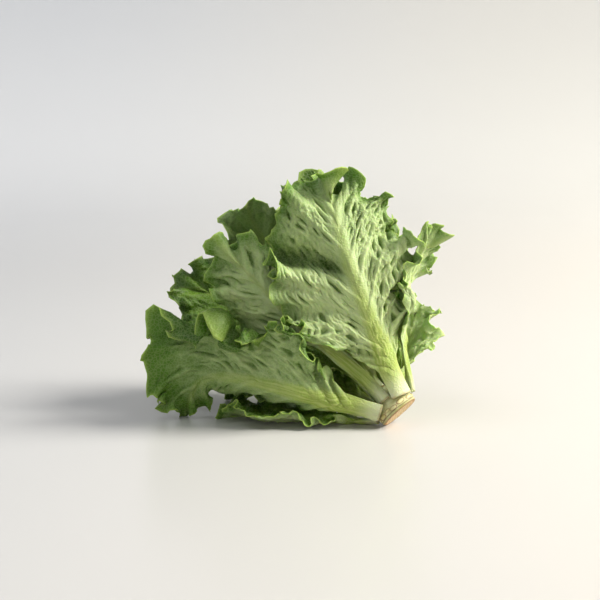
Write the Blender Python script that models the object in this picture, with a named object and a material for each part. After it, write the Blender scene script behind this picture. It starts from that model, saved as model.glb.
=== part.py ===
"""A head of green leaf lettuce, cut from its root and lying on its side.

Metres, +Z up, resting on the plane z = 0. +X runs along the table from the leaf tips to the cut stump,
and +Y runs to the back of the head. The origin is on the table, below the middle of the head.
Each leaf is one thin closed blade with a thick rib, and the stump they grew from is one solid.
The leaves are laid out round the stump in the head's own place, and MIDDLE then moves them over the origin.
"""

import math
from dataclasses import dataclass

import bpy
import numpy as np
from mathutils import Vector
from mathutils.bvhtree import BVHTree

# The middle of the head's box, as laid out below.
MIDDLE = np.array([-0.0068, 0.0579, 0.0])

# The stump: where its cut face lies, which way the head grew from it, and its profile
# as (height over the cut, share of the radius).
CUT_CENTRE = np.array([0.089, -0.004, 0.0125])
HEAD_AXIS = np.array([-0.637, 0.345, 0.688])
STUMP_RADIUS = 0.0185
STUMP_PROFILE = (
    (0.0, 0.94), (0.0012, 1.0), (0.007, 1.0), (0.011, 0.87), (0.017, 0.66), (0.024, 0.42), (0.030, 0.2),
)
STUMP_SIDES = 28
STUMP_COLOUR = (0.58, 0.42, 0.24, 1.0)

# Where the leaves leave the stump, from the lowest ring to the heart: the height over the cut,
# half the width of a leaf's foot, how thick its rib stands there, and how high it stays over the table.
RING_HEIGHT = (0.0085, 0.0150, 0.0215, 0.0270)
FOOT_HALF_WIDTH = (0.0080, 0.0063, 0.0050, 0.0040)
FOOT_RIB = (0.0040, 0.0020, 0.0014, 0.0010)
RING_FLOOR = (0.0, 0.004, 0.009, 0.014)

# Every blade.
BLADE_THICKNESS = 0.0009
WIDEST_AT = 0.60
RIB_END = 0.90
WAVE_LENGTH = 0.058
LOBE = 0.09
ROW_SHARES = (0.0, 0.13, 0.36, 0.58, 0.79, 1.0)
LEAF_COLOUR = (0.24, 0.38, 0.09, 1.0)
HEART_COLOUR = (0.42, 0.55, 0.18, 1.0)

# How leaves are bent clear of each other.
CLEARANCE = 0.0014
STALK_CLEARANCE = 0.0005
OPEN_FROM_STUMP = 0.08
REACH = 0.024
NESTING = 0.15
REACH_NEAR_STUMP = 0.18
CORNER_REACH = 0.006
EXTRA_ROOM = 0.0005
MOST_MOVE = 0.14
BENDING_ROUNDS = 60
LAST_ROUNDS = 44
STUMP_GAP = 0.0009


@dataclass
class Leaf:
    """One leaf. Left and right are as seen from outside the head, with the tip up."""

    name: str
    turn: float  # degrees round the stump, from the front towards the table
    ring: int  # 0 grows lowest on the stump, 3 is the heart
    spine: list  # where the rib runs after it leaves the stump
    faces: list  # which way the outer side looks, half-way and at the tip
    left: float  # half widths
    right: float
    cup: tuple  # how far each half turns inwards, in radians
    flare: tuple = (0.3, 0.3)  # how far each margin turns back out, in radians
    ruffle: float = 0.009
    waves: tuple = (1.0, 1.0)  # how strong the ruffles are on each half
    phase: float = 0.0
    neck: float = 0.08  # the share of the length that is bare stalk
    foot: float = 1.0  # how wide its foot is beside the others of its ring
    creases: tuple = ()  # (place along the margin, depth, width)
    bays: tuple = ()  # (place along the margin, share cut away, width)
    columns: int = 22


# The leaf that lies flat on the table, under all the others.
BED_LEAF = "leaf_under"

# That leaf comes first, then the rest from the heart outwards: each is bent clear of those before it.
LEAVES = [
    Leaf(BED_LEAF, 96, 0,
         [(0.027, 0.010, 0.002), (-0.015, 0.020, 0.0005), (-0.048, 0.031, 0.0005), (-0.074, 0.040, 0.003)],
         [(0.0, 0.0, -1.0), (0.0, 0.0, -1.0)],
         left=0.062, right=0.046, cup=(0.0, 0.9), flare=(0.0, 0.2), ruffle=0.007, phase=2.1, neck=0.12,
         foot=0.8),
    Leaf("heart_leaf_front", -20, 3,
         [(0.054, 0.013, 0.053), (0.034, 0.020, 0.077), (0.014, 0.028, 0.101), (0.002, 0.030, 0.120)],
         [(0.0, -0.95, 0.1), (0.2, -0.95, 0.3)],
         left=0.020, right=0.020, cup=(0.6, 0.6), flare=(0.2, 0.2), ruffle=0.004, phase=0.8, columns=12),
    Leaf("heart_leaf_back", 195, 3,
         [(0.059, 0.028, 0.054), (0.040, 0.042, 0.078), (0.024, 0.052, 0.102), (0.014, 0.056, 0.122)],
         [(-0.1, 0.95, 0.0), (0.0, 0.95, 0.1)],
         left=0.020, right=0.020, cup=(0.5, 0.5), flare=(0.2, 0.2), ruffle=0.004, phase=2.2, columns=12),
    Leaf("leaf_far_left", 112, 2,
         [(0.041, 0.024, 0.047), (0.000, 0.045, 0.075), (-0.046, 0.062, 0.095), (-0.089, 0.073, 0.108),
          (-0.118, 0.078, 0.118)],
         [(-0.15, 0.75, -0.6), (-0.4, 0.75, -0.4)],
         left=0.050, right=0.054, cup=(0.1, 0.6), ruffle=0.011, phase=2.9, neck=0.14),
    Leaf("leaf_back_left", 178, 2,
         [(0.046, 0.054, 0.058), (0.000, 0.088, 0.110), (-0.033, 0.094, 0.156), (-0.050, 0.084, 0.192)],
         [(-0.1, 0.95, 0.1), (-0.3, 0.85, 0.3)],
         left=0.040, right=0.056, cup=(0.3, 0.5), ruffle=0.010, phase=1.9),
    Leaf("leaf_back_top", 240, 2,
         [(0.070, 0.048, 0.078), (0.052, 0.076, 0.130), (0.026, 0.082, 0.178), (0.008, 0.070, 0.214)],
         [(0.2, 0.95, 0.1), (0.1, 0.9, 0.4)],
         left=0.054, right=0.054, cup=(0.5, 0.4), ruffle=0.011, phase=0.5),
    Leaf("leaf_inner_left", 10, 1,
         [(0.040, 0.000, 0.058), (-0.002, 0.002, 0.093), (-0.040, 0.006, 0.130), (-0.075, 0.016, 0.162)],
         [(0.0, -0.95, 0.1), (-0.3, -0.9, 0.1)],
         left=0.044, right=0.040, cup=(0.3, 1.6), ruffle=0.010, phase=0.7, neck=0.42),
    Leaf("leaf_left_tip", 122, 1,
         [(0.027, 0.037, 0.026), (-0.037, 0.064, 0.036), (-0.090, 0.082, 0.040), (-0.142, 0.088, 0.038)],
         [(0.0, 0.35, -0.95), (-0.2, 0.2, -0.9)],
         left=0.050, right=0.038, cup=(0.4, 0.5), ruffle=0.010, phase=0.2),
    Leaf("leaf_back", 196, 1,
         [(0.076, 0.062, 0.058), (0.050, 0.100, 0.103), (0.030, 0.120, 0.145), (0.012, 0.126, 0.180)],
         [(0.25, 0.95, 0.1), (0.2, 0.95, 0.1)],
         left=0.064, right=0.064, cup=(0.6, 0.6), ruffle=0.011, phase=2.6),
    Leaf("leaf_right_back", 236, 1,
         [(0.094, 0.040, 0.048), (0.101, 0.062, 0.064), (0.107, 0.080, 0.080), (0.112, 0.092, 0.096)],
         [(0.5, 0.75, -0.2), (0.4, 0.85, -0.1)],
         left=0.032, right=0.032, cup=(0.5, 0.5), ruffle=0.006, phase=1.1, columns=16),
    Leaf("leaf_back_low", 156, 0,
         [(0.038, 0.066, 0.030), (-0.014, 0.104, 0.046), (-0.058, 0.124, 0.058), (-0.098, 0.132, 0.070)],
         [(-0.1, 0.85, -0.4), (-0.2, 0.9, -0.2)],
         left=0.062, right=0.062, cup=(0.5, 0.6), ruffle=0.011, phase=1.7, neck=0.14, foot=1.15),
    Leaf("leaf_front", -42, 0,
         [(0.070, -0.012, 0.076), (0.052, -0.018, 0.121), (0.037, -0.012, 0.164), (0.028, 0.002, 0.197),
          (0.024, 0.018, 0.224)],
         [(0.10, -0.98, 0.15), (0.12, -0.98, 0.15)],
         left=0.074, right=0.062, cup=(0.45, 0.9), ruffle=0.013, phase=0.4, neck=0.13, foot=1.3,
         creases=((-0.34, 0.022, 0.055),), bays=((-0.30, 0.2, 0.07),), columns=26),
    Leaf("leaf_right", -100, 0,
         [(0.093, 0.008, 0.062), (0.091, 0.020, 0.098), (0.102, 0.030, 0.138), (0.132, 0.034, 0.168)],
         [(0.95, -0.15, 0.1), (0.65, -0.7, -0.1)],
         left=0.034, right=0.020, cup=(0.5, 0.5), flare=(0.4, 0.6), ruffle=0.010, phase=0.9, neck=0.26,
         foot=0.9),
    Leaf("leaf_low_front", 42, 0,
         [(0.032, -0.014, 0.026), (-0.016, -0.016, 0.033), (-0.050, -0.006, 0.047), (-0.078, 0.006, 0.044),
          (-0.097, 0.016, 0.026), (-0.102, 0.022, 0.003)],
         [(0.0, -1.0, 0.0), (-0.25, -0.95, 0.1)],
         left=0.034, right=0.066, cup=(2.2, 0.0), flare=(0.0, 0.9), ruffle=0.012, phase=1.3, neck=0.17,
         foot=1.3, bays=((0.13, 0.32, 0.09), (0.45, 0.58, 0.06), (0.60, 0.12, 0.03)), waves=(0.35, 1.0),
         columns=26),
]


def unit(v):
    v = np.asarray(v, float)
    return v / np.maximum(np.linalg.norm(v, axis=-1, keepdims=True), 1e-12)


def ease(x):
    x = np.clip(x, 0, 1)
    return x * x * (3 - 2 * x)


HEAD_AXIS = unit(HEAD_AXIS)
HEAD_FRONT = unit(np.array([0.0, -1.0, 0.0]) + HEAD_AXIS * HEAD_AXIS[1])
HEAD_SIDE = np.cross(HEAD_FRONT, HEAD_AXIS)


def stump_radius(height):
    heights, shares = zip(*STUMP_PROFILE)
    return STUMP_RADIUS * np.interp(height, heights, shares)


def leaf_foot(leaf):
    """Where a leaf leaves the stump, and the direction straight out from the head's axis there."""
    angle = math.radians(leaf.turn)
    out = HEAD_FRONT * math.cos(angle) + HEAD_SIDE * math.sin(angle)
    height = RING_HEIGHT[leaf.ring]
    reach = stump_radius(height) + BLADE_THICKNESS / 2 + STUMP_GAP
    return CUT_CENTRE + HEAD_AXIS * height + out * reach, out


def even_line(points, count):
    """Points evenly spaced along one smooth curve through the given ones, and its length."""
    points = np.asarray(points, float)
    knots = np.concatenate([[0], np.cumsum(np.linalg.norm(np.diff(points, axis=0), axis=1))])
    fit = np.polyfit(knots / knots[-1], points, min(len(points) - 1, 4))
    share = np.linspace(0, 1, 200)
    curve = np.stack([np.polyval(fit[:, k], share) for k in range(3)], axis=1)
    run = np.concatenate([[0], np.cumsum(np.linalg.norm(np.diff(curve, axis=0), axis=1))])
    even = np.linspace(0, run[-1], count)
    return np.stack([np.interp(even, run, curve[:, k]) for k in range(3)], axis=1), run[-1]


def rib_line(leaf, count=60):
    """Points along the rib, its tangent, the leaf's side and its outer normal at each, and its length."""
    foot, out = leaf_foot(leaf)
    line, length = even_line([foot, *leaf.spine], count)
    tangent = unit(np.gradient(line, axis=0))
    along = np.linspace(0, 1, count)[:, None]
    half, tip = unit(leaf.faces[0]), unit(leaf.faces[1])
    early, late = ease(along / 0.35), np.clip((along - 0.35) / 0.65, 0, 1)
    facing = out * (1 - early) + half * early * (1 - late) + tip * late
    normal = unit(facing - tangent * np.sum(facing * tangent, axis=1, keepdims=True))
    return line, tangent, np.cross(tangent, normal), normal, length


def outline(width, foot, neck):
    """Half of the flat leaf's margin from foot to tip, in shares of its length, read by arc length."""
    y = np.linspace(0, WIDEST_AT, 60)
    rise = np.sin(np.clip((y - neck) / (WIDEST_AT - neck), 0, 1) * math.pi / 2) ** 1.3
    x = foot + (width - foot) * rise
    turn = np.linspace(0, math.pi / 2, 60)[1:]
    x = np.concatenate([x, width * np.cos(turn) ** 0.9])
    y = np.concatenate([y, WIDEST_AT + (1 - WIDEST_AT) * np.sin(turn)])
    run = np.concatenate([[0], np.cumsum(np.hypot(np.diff(x), np.diff(y)))])
    return run / run[-1], x, y, run[-1]


def ruffle(leaf, m, r, waves):
    """How far the blade stands off its smooth form, outwards and along the leaf, at margin places m from
    -1 to 1 and at shares r of the way from the rib to the margin."""
    wander = 0.9 * np.sin(2.1 * math.pi * m + leaf.phase) + 0.6 * np.sin(5.3 * math.pi * m + 2 * leaf.phase)
    angle = 2 * math.pi * waves * m + wander + 3 * leaf.phase
    swell = leaf.ruffle * (0.8 + 0.3 * np.sin(3.7 * math.pi * m + 5 * leaf.phase))
    swell = swell * np.interp(m, (-0.15, 0.15), leaf.waves)
    outwards = swell * r**2.2 * np.sin(angle)
    sideways = -0.3 * swell * r**3 * np.sin(2 * angle)
    for place, depth, width in leaf.creases:
        outwards = outwards - depth * np.exp(-(((m - place) / width) ** 2)) * r**0.8 * (1.6 - 0.6 * r)
    return outwards, sideways


def leaf_surface(leaf, m, r):
    """The blade's middle surface at places m and shares r, with its outer side and its rib."""
    line, tangent, side, normal, length = rib_line(leaf)
    sign = np.where(m < 0, -1.0, 1.0)
    q = 1 - np.abs(m)
    x_edge, y_edge, perimeter = np.zeros_like(m), np.zeros_like(m), 0.0
    foot = FOOT_HALF_WIDTH[leaf.ring] * leaf.foot
    for half, width in ((-1.0, leaf.left), (1.0, leaf.right)):
        run, x, y, total = outline(width / length, foot / length, leaf.neck)
        x_edge = np.where(sign == half, np.interp(q, run, x), x_edge)
        y_edge = np.where(sign == half, np.interp(q, run, y), y_edge)
        perimeter += total * length
    y_rib = RIB_END * q**1.15
    waves = perimeter / WAVE_LENGTH / 2
    lobes = 1 + LOBE * r**3 * np.sin(1.6 * math.pi * waves * m + 7 * leaf.phase)
    for place, cut, width in leaf.bays:
        lobes = lobes - cut * r**3 * np.exp(-(((m - place) / width) ** 2))
    x = x_edge * r**1.25 * length * lobes
    y = y_rib + (y_edge - y_rib) * r
    at = np.linspace(0, 1, len(line))

    def read(values):
        return np.stack([np.interp(y, at, values[:, k]) for k in range(3)], axis=-1)

    centre, ahead, across, out = read(line), unit(read(tangent)), unit(read(side)), unit(read(normal))
    opened = ease(y / 0.35)
    widest = np.where(sign < 0, leaf.left, leaf.right)
    cup = np.where(sign < 0, leaf.cup[0], leaf.cup[1]) / widest
    bend = cup * opened + (1 - opened) / stump_radius(RING_HEIGHT[leaf.ring])
    flare = 1.5 * np.where(sign < 0, leaf.flare[0], leaf.flare[1]) * opened
    steps = 24
    away, raised = np.zeros_like(x), np.zeros_like(x)
    for k in range(steps):
        reach = x * (k + 0.5) / steps
        angle = flare * (reach / widest) ** 3 - bend * reach
        away += np.cos(angle) * x / steps
        raised += np.sin(angle) * x / steps
    angle = flare * (x / widest) ** 3 - bend * x
    facing = unit(out * np.cos(angle)[..., None] - across * (sign * np.sin(angle))[..., None])
    blade = ease((y_edge - leaf.neck) / 0.25)
    outwards, sideways = ruffle(leaf, m, r, waves)
    place = centre + across * (sign * away)[..., None] + out * raised[..., None]
    place = place + facing * (outwards * blade)[..., None] + ahead * (sideways * blade)[..., None]
    slim = foot * (1.15 - 0.75 * y)
    rib = FOOT_RIB[leaf.ring] * (0.1 + 0.9 * np.clip(1 - y, 0, 1) ** 1.3) * np.exp(-((x / slim) ** 2))
    return place, facing, rib


def grid(columns, row_shares):
    """The places m and shares r of a leaf's grid, and the number of each grid point's vertex.
    The two halves share the vertices of the rib."""
    rows = len(row_shares) - 1
    m, r = np.meshgrid(np.linspace(-1, 1, 2 * columns + 1), np.asarray(row_shares), indexing="ij")
    number = np.zeros(m.shape, int)
    count = 0
    for i in range(2 * columns + 1):
        for j in range(rows + 1):
            if j == 0 and i > columns:
                number[i, 0] = number[2 * columns - i, 0]
            else:
                number[i, j] = count
                count += 1
    return m, r, number


def split(place, number):
    """Triangles of a grid that face the leaf's outer side, each square split along its shorter diagonal."""
    faces = []
    for i in range(number.shape[0] - 1):
        for j in range(number.shape[1] - 1):
            a, b, c, d = number[i, j], number[i + 1, j], number[i + 1, j + 1], number[i, j + 1]
            if np.linalg.norm(place[a] - place[c]) < np.linalg.norm(place[b] - place[d]):
                pair = [(a, b, c), (a, c, d)]
            else:
                pair = [(a, b, d), (b, c, d)]
            faces += [f for f in pair if len(set(f)) == 3]
    return np.array(faces)


def vertex_normals(place, faces):
    corners = place[faces]
    flat = np.cross(corners[:, 1] - corners[:, 0], corners[:, 2] - corners[:, 0])
    total = np.zeros_like(place)
    for k in range(3):
        np.add.at(total, faces[:, k], flat)
    return unit(total)


def smoothed(values, faces):
    """Each vertex's value, half its own and half the mean of its neighbours'."""
    total, count = np.zeros_like(values), np.zeros(len(values))
    for a, b in ((0, 1), (1, 2), (2, 0)):
        for start, end in ((a, b), (b, a)):
            np.add.at(total, faces[:, start], values[faces[:, end]])
            np.add.at(count, faces[:, start], 1)
    return 0.5 * values + 0.5 * total / count[:, None]


class Placed:
    """The middle surface of a leaf that has its place, for the next ones to keep clear of."""

    def __init__(self, name, place, faces, rib, solid):
        self.name = name
        self.place = place
        self.own_rib = rib
        self.rib = rib[faces].max(axis=1)
        self.tree = tree_of(place, faces)
        self.solid = tree_of(*solid)


def tree_of(place, faces):
    return BVHTree.FromPolygons([Vector(p) for p in place], [tuple(map(int, f)) for f in faces])


def nearest(tree, place, reach):
    """For each point within reach of a surface: its nearest spot, the normal, the distance, the face."""
    spot, normal = np.zeros_like(place), np.zeros_like(place)
    distance, face = np.full(len(place), np.inf), np.zeros(len(place), int)
    for k, p in enumerate(place):
        found, facing, index, away = tree.find_nearest(Vector(p), reach)
        if found is not None:
            spot[k], normal[k], distance[k], face[k] = found, facing, away, index
    return spot, normal, distance, face


def room_near(place):
    """The clearance and the reach at each point: both shrink near the stump, where the leaves are packed."""
    from_stump = np.linalg.norm(place - CUT_CENTRE - HEAD_AXIS * RING_HEIGHT[1], axis=1)
    room = STALK_CLEARANCE + CLEARANCE * ease(from_stump / OPEN_FROM_STUMP)
    return BLADE_THICKNESS + room, np.minimum(REACH, REACH_NEAR_STUMP * from_stump)


def push_from_leaf(place, normals, rib, extra, other, sides):
    """How far each vertex moves to be clear of one placed leaf. Leaves that face the same way nest,
    the new one outside. Otherwise the new leaf stays on the side where most of it is."""
    spot, facing, distance, face = nearest(other.tree, place, REACH)
    room, reach = room_near(place)
    off = place - spot
    height = np.sum(off * facing, axis=1)
    near = distance < reach
    over = near & (np.abs(height) > 0.75 * distance)
    if other.name not in sides:
        if not over.any():
            return np.zeros_like(place)
        alike = np.sum(normals * facing, axis=1)[over].mean()
        nests = alike > NESTING
        sides[other.name] = (1.0 if nests else float(np.sign(np.median(height[over])) or 1.0)), alike
        if other.name == BED_LEAF:
            sides[other.name] = -1.0, alike
    side = sides[other.name][0]
    want = room + extra + (other.rib[face] if side > 0 else rib)
    push = facing * (side * np.clip(np.where(over, want - side * height, 0.0), 0, REACH))[:, None]
    beside = near & ~over & (distance < want)
    return push + unit(off) * np.where(beside, want - distance, 0.0)[:, None]


def push_from_corners(place, faces, normals, rib, other, sides):
    """The same as seen from the placed leaf: its corners push the new leaf's triangles outwards,
    or inwards off the leaf that they all lie on."""
    push = np.zeros_like(place)
    if other.name not in sides or abs(sides[other.name][1]) < NESTING:
        return push
    way = -1.0 if other.name == BED_LEAF else 1.0
    room, _ = room_near(other.place)
    spot, facing, distance, face = nearest(tree_of(place, faces), other.place, CORNER_REACH)
    height = way * np.sum((other.place - spot) * facing, axis=1)
    want = room + (other.own_rib if sides[other.name][0] > 0 else rib[faces[face, 0]])
    hit = (distance < CORNER_REACH) & (np.abs(height) > 0.75 * distance) & (height > -want)
    for k in np.flatnonzero(hit):
        for corner in faces[face[k]]:
            lack = want[k] + height[k]
            if np.linalg.norm(push[corner]) < lack:
                push[corner] = facing[k] * lack * way
    return push


def push_from_stump(place):
    """How far each vertex moves to be clear of the stump."""
    off = place - CUT_CENTRE
    height = off @ HEAD_AXIS
    out = off - height[:, None] * HEAD_AXIS
    lack = stump_radius(height) + BLADE_THICKNESS / 2 + STUMP_GAP - np.linalg.norm(out, axis=1)
    inside = (lack > 0) & (height > -0.001) & (height < STUMP_PROFILE[-1][0] + 0.001)
    return unit(out) * np.where(inside, lack, 0.0)[:, None]


def bend_clear(leaf, place, faces, rib, placed):
    """Moves a leaf's vertices off the leaves inside it, off the stump and up on to the table."""
    floor = RING_FLOOR[leaf.ring] + BLADE_THICKNESS / 2
    from_stump = np.linalg.norm(place - CUT_CENTRE - HEAD_AXIS * RING_HEIGHT[1], axis=1)
    most = MOST_MOVE * from_stump * (1 + (from_stump / OPEN_FROM_STUMP) ** 2)
    sides = {}
    moved, extra = np.zeros_like(place), np.zeros(len(place))
    for turn in range(BENDING_ROUNDS):
        now = place + moved
        normals = vertex_normals(now, faces)
        push = np.zeros_like(place)
        for other in placed:
            push += push_from_leaf(now + push, normals, rib, extra, other, sides)
            push += push_from_corners(now + push, faces, normals, rib, other, sides)
        moved += push
        if turn < BENDING_ROUNDS - LAST_ROUNDS:
            moved = smoothed(moved, faces)
        else:
            mine, others = crossing(place + moved, faces, rib, placed)
            if turn > BENDING_ROUNDS - LAST_ROUNDS and not mine.any() and not others.any():
                break
            extra += EXTRA_ROOM * others
            now = place + moved
            moved += (smoothed(now, faces) - now) * mine[:, None]
        length = np.linalg.norm(moved, axis=1)
        moved *= np.minimum(1, most / np.maximum(length, 1e-9))[:, None]
        moved += push_from_stump(place + moved)
        moved[:, 2] += np.maximum(0, floor - (place + moved)[:, 2])
    return place + moved


def crossing(place, faces, rib, placed):
    """Marks, from 0 to 1, the vertices next to triangles of the blade that cross the blade itself,
    and those next to triangles that cross a placed leaf."""
    vertices, triangles = blade_solid(place, faces, rib)
    tree = tree_of(vertices, triangles)
    marks = np.zeros((len(place), 2))
    for a, b in tree.overlap(tree):
        if a < b and not set(triangles[a]) & set(triangles[b]):
            for corner in triangles[a] + triangles[b]:
                marks[corner % len(place), 0] = 1.0
    for other in placed:
        for mine, _ in tree.overlap(other.solid):
            for corner in triangles[mine]:
                marks[corner % len(place), 1] = 1.0
    return np.minimum(1, 2 * smoothed(marks, faces)).T


def blade_solid(place, faces, rib):
    """Vertices and triangles of the closed blade round a middle surface."""
    normals = vertex_normals(place, faces)
    outer = place + normals * (BLADE_THICKNESS / 2 + rib)[:, None]
    inner = place - normals * BLADE_THICKNESS / 2
    outer[:, 2] = np.maximum(outer[:, 2], 0.0)
    inner[:, 2] = np.maximum(inner[:, 2], 0.0)
    count = len(place)
    triangles = [tuple(f) for f in faces.tolist()] + [tuple(f) for f in (faces[:, ::-1] + count).tolist()]
    edges = {(f[k], f[(k + 1) % 3]) for f in faces.tolist() for k in range(3)}
    for a, b in sorted(edge for edge in edges if edge[::-1] not in edges):
        triangles += [(b, a, a + count), (b, a + count, b + count)]
    return np.concatenate([outer, inner]), triangles


def new_object(name, vertices, faces, colour, roughness):
    material = bpy.data.materials.new(name)
    material.use_nodes = True
    shader = material.node_tree.nodes["Principled BSDF"]
    shader.inputs["Base Color"].default_value = colour
    shader.inputs["Roughness"].default_value = roughness
    shader.inputs["Metallic"].default_value = 0.0
    mesh = bpy.data.meshes.new(name)
    mesh.from_pydata([tuple(map(float, v)) for v in vertices], [], [tuple(map(int, f)) for f in faces])
    mesh.materials.append(material)
    mesh.shade_smooth()
    mesh.set_sharp_from_angle(angle=math.radians(50))
    made = bpy.data.objects.new(name, mesh)
    made.location = Vector(-MIDDLE)
    bpy.context.scene.collection.objects.link(made)
    return made


def make_stump():
    """A turned cone with its cut face down, pressed flat where it meets the table."""
    vertices, faces = [], []
    for height, share in STUMP_PROFILE:
        for k in range(STUMP_SIDES):
            angle = 2 * math.pi * k / STUMP_SIDES
            out = HEAD_FRONT * math.cos(angle) + HEAD_SIDE * math.sin(angle)
            vertices.append(CUT_CENTRE + HEAD_AXIS * height + out * STUMP_RADIUS * share)
    rings = len(STUMP_PROFILE)
    for ring in range(rings - 1):
        for k in range(STUMP_SIDES):
            a, b = ring * STUMP_SIDES + k, ring * STUMP_SIDES + (k + 1) % STUMP_SIDES
            faces += [(a, a + STUMP_SIDES, b + STUMP_SIDES), (a, b + STUMP_SIDES, b)]
    faces.append(tuple(range(STUMP_SIDES)))
    faces.append(tuple(reversed(range((rings - 1) * STUMP_SIDES, rings * STUMP_SIDES))))
    vertices = np.array(vertices)
    vertices[:, 2] = np.maximum(vertices[:, 2], 0.0)
    return new_object("stump", vertices, faces, STUMP_COLOUR, 0.7)


def make_leaves():
    placed = []
    for leaf in LEAVES:
        m, r, number = grid(leaf.columns, ROW_SHARES)
        surface, _, stalk = leaf_surface(leaf, m, r)
        place = np.zeros((number.max() + 1, 3))
        rib = np.zeros(len(place))
        place[number.reshape(-1)] = surface.reshape(-1, 3)
        rib[number.reshape(-1)] = stalk.reshape(-1)
        faces = split(place, number)
        place = bend_clear(leaf, place, faces, rib, placed)
        vertices, triangles = blade_solid(place, faces, rib)
        placed.append(Placed(leaf.name, place, faces, rib, (vertices, triangles)))
        colour = HEART_COLOUR if leaf.ring == 3 else LEAF_COLOUR
        new_object(leaf.name, vertices, triangles, colour, 0.45)


def main():
    for old in list(bpy.data.objects):
        bpy.data.objects.remove(old)
    make_stump()
    make_leaves()


if __name__ == "__main__":
    main()
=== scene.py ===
# %% [markdown]
# # A head of green leaf lettuce
# The head lies on its side on a pale table, cut from its root. A short stump holds its leaves: bare pale
# stalks at the foot, then thin blades, blistered between their veins and ruffled at their margins.
# Such a head could be sculpted by hand or grown with particles. Here each leaf is one formula instead: a
# smooth form, bent clear of its neighbours, and then finer and finer waves on top. A formula keeps every
# leaf its own while they all share one way of growing, and it can be read and changed.

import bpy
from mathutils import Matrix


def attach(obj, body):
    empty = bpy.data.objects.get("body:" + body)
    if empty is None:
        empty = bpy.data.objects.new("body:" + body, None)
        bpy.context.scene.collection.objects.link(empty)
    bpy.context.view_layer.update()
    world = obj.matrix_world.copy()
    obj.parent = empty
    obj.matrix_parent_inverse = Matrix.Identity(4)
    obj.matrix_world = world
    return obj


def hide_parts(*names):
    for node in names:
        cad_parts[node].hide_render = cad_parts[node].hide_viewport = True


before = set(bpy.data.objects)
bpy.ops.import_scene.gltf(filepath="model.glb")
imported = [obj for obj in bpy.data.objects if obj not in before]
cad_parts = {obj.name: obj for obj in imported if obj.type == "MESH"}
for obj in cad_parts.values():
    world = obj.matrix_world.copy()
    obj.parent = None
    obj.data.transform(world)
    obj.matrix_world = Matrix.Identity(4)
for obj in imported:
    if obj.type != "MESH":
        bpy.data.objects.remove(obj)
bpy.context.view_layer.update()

# %% Tools from Blender and Python
import math
from dataclasses import dataclass

import bpy
import numpy as np
from mathutils import Vector
from mathutils.bvhtree import BVHTree

scene = bpy.context.scene
print("Blender", bpy.app.version_string)

# %% [markdown]
# ## The camera
# The head is seen from a little above the table, through a long lens, so that its near and far leaves
# keep their real proportions. A shorter lens closer by would make the front leaf loom.
# MIDDLE is where the middle of the head lies from the place that its leaves are laid out round. Leaves,
# camera and lamps are laid out there, and all of them are moved by it.

# %% Place the camera
MIDDLE = np.array([-0.0068, 0.0579, 0.0])
CAMERA_PLACE = np.array([0.0, -1.2277, 0.3300])
CAMERA_TARGET = np.array([0.0, 0.0, 0.1135])


def aim(thing, place, target):
    """Puts a camera or a lamp at a place and points it at a target."""
    thing.location = Vector(place - MIDDLE)
    thing.rotation_euler = Vector(target - place).to_track_quat("-Z", "Y").to_euler()


camera = bpy.data.objects.new("camera", bpy.data.cameras.new("camera"))
camera.data.lens = 85.0
camera.data.sensor_width = 36.0
scene.collection.objects.link(camera)
aim(camera, CAMERA_PLACE, CAMERA_TARGET)
scene.camera = camera
print("camera", round((CAMERA_TARGET - CAMERA_PLACE)[1], 3), "m from the head")

# %% [markdown]
# ## Where leaves grow
# Lettuce leaves grow in rings round a short stem: the oldest and largest at its foot, the heart at its top.
# So a leaf needs two numbers for its root, how far round the stem it stands and in which ring, and then the
# line that its rib follows. These are the values that the solid model of the head is made from.

# %% The stump and the rings of leaves
CUT_CENTRE = np.array([0.089, -0.004, 0.0125])
HEAD_AXIS = np.array([-0.637, 0.345, 0.688])
STUMP_RADIUS = 0.0185
STUMP_PROFILE = (
    (0.0, 0.94), (0.0012, 1.0), (0.007, 1.0), (0.011, 0.87), (0.017, 0.66), (0.024, 0.42), (0.030, 0.2),
)
RING_HEIGHT = (0.0085, 0.0150, 0.0215, 0.0270)
FOOT_HALF_WIDTH = (0.0080, 0.0063, 0.0050, 0.0040)
FOOT_RIB = (0.0040, 0.0020, 0.0014, 0.0010)
RING_FLOOR = (0.0, 0.004, 0.009, 0.014)
BLADE_THICKNESS = 0.0009
STUMP_GAP = 0.0009


# %% What describes one leaf
@dataclass
class Leaf:
    """One leaf. Left and right are as seen from outside the head, with the tip up."""

    name: str
    turn: float  # degrees round the stump, from the front towards the table
    ring: int  # 0 grows lowest on the stump, 3 is the heart
    spine: list  # where the rib runs after it leaves the stump
    faces: list  # which way the outer side looks, half-way and at the tip
    left: float  # half widths
    right: float
    cup: tuple  # how far each half turns inwards, in radians
    flare: tuple = (0.3, 0.3)  # how far each margin turns back out, in radians
    ruffle: float = 0.009
    waves: tuple = (1.0, 1.0)  # how strong the ruffles are on each half
    phase: float = 0.0
    neck: float = 0.08  # the share of the length that is bare stalk
    foot: float = 1.0  # how wide its foot is beside the others of its ring
    creases: tuple = ()  # (place along the margin, depth, width)
    bays: tuple = ()  # (place along the margin, share cut away, width)
    columns: int = 22
    fine: tuple = (120, 54)  # columns of each half and rows of the finished leaf
    pale: float = 0.0  # painted light on the whole leaf, and painted shade where it is below 0
    blisters: float = 1.0  # how strong its relief is
    frills: tuple = (1.0, 1.0)  # how strong the finer waves of each half's margin are


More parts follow.
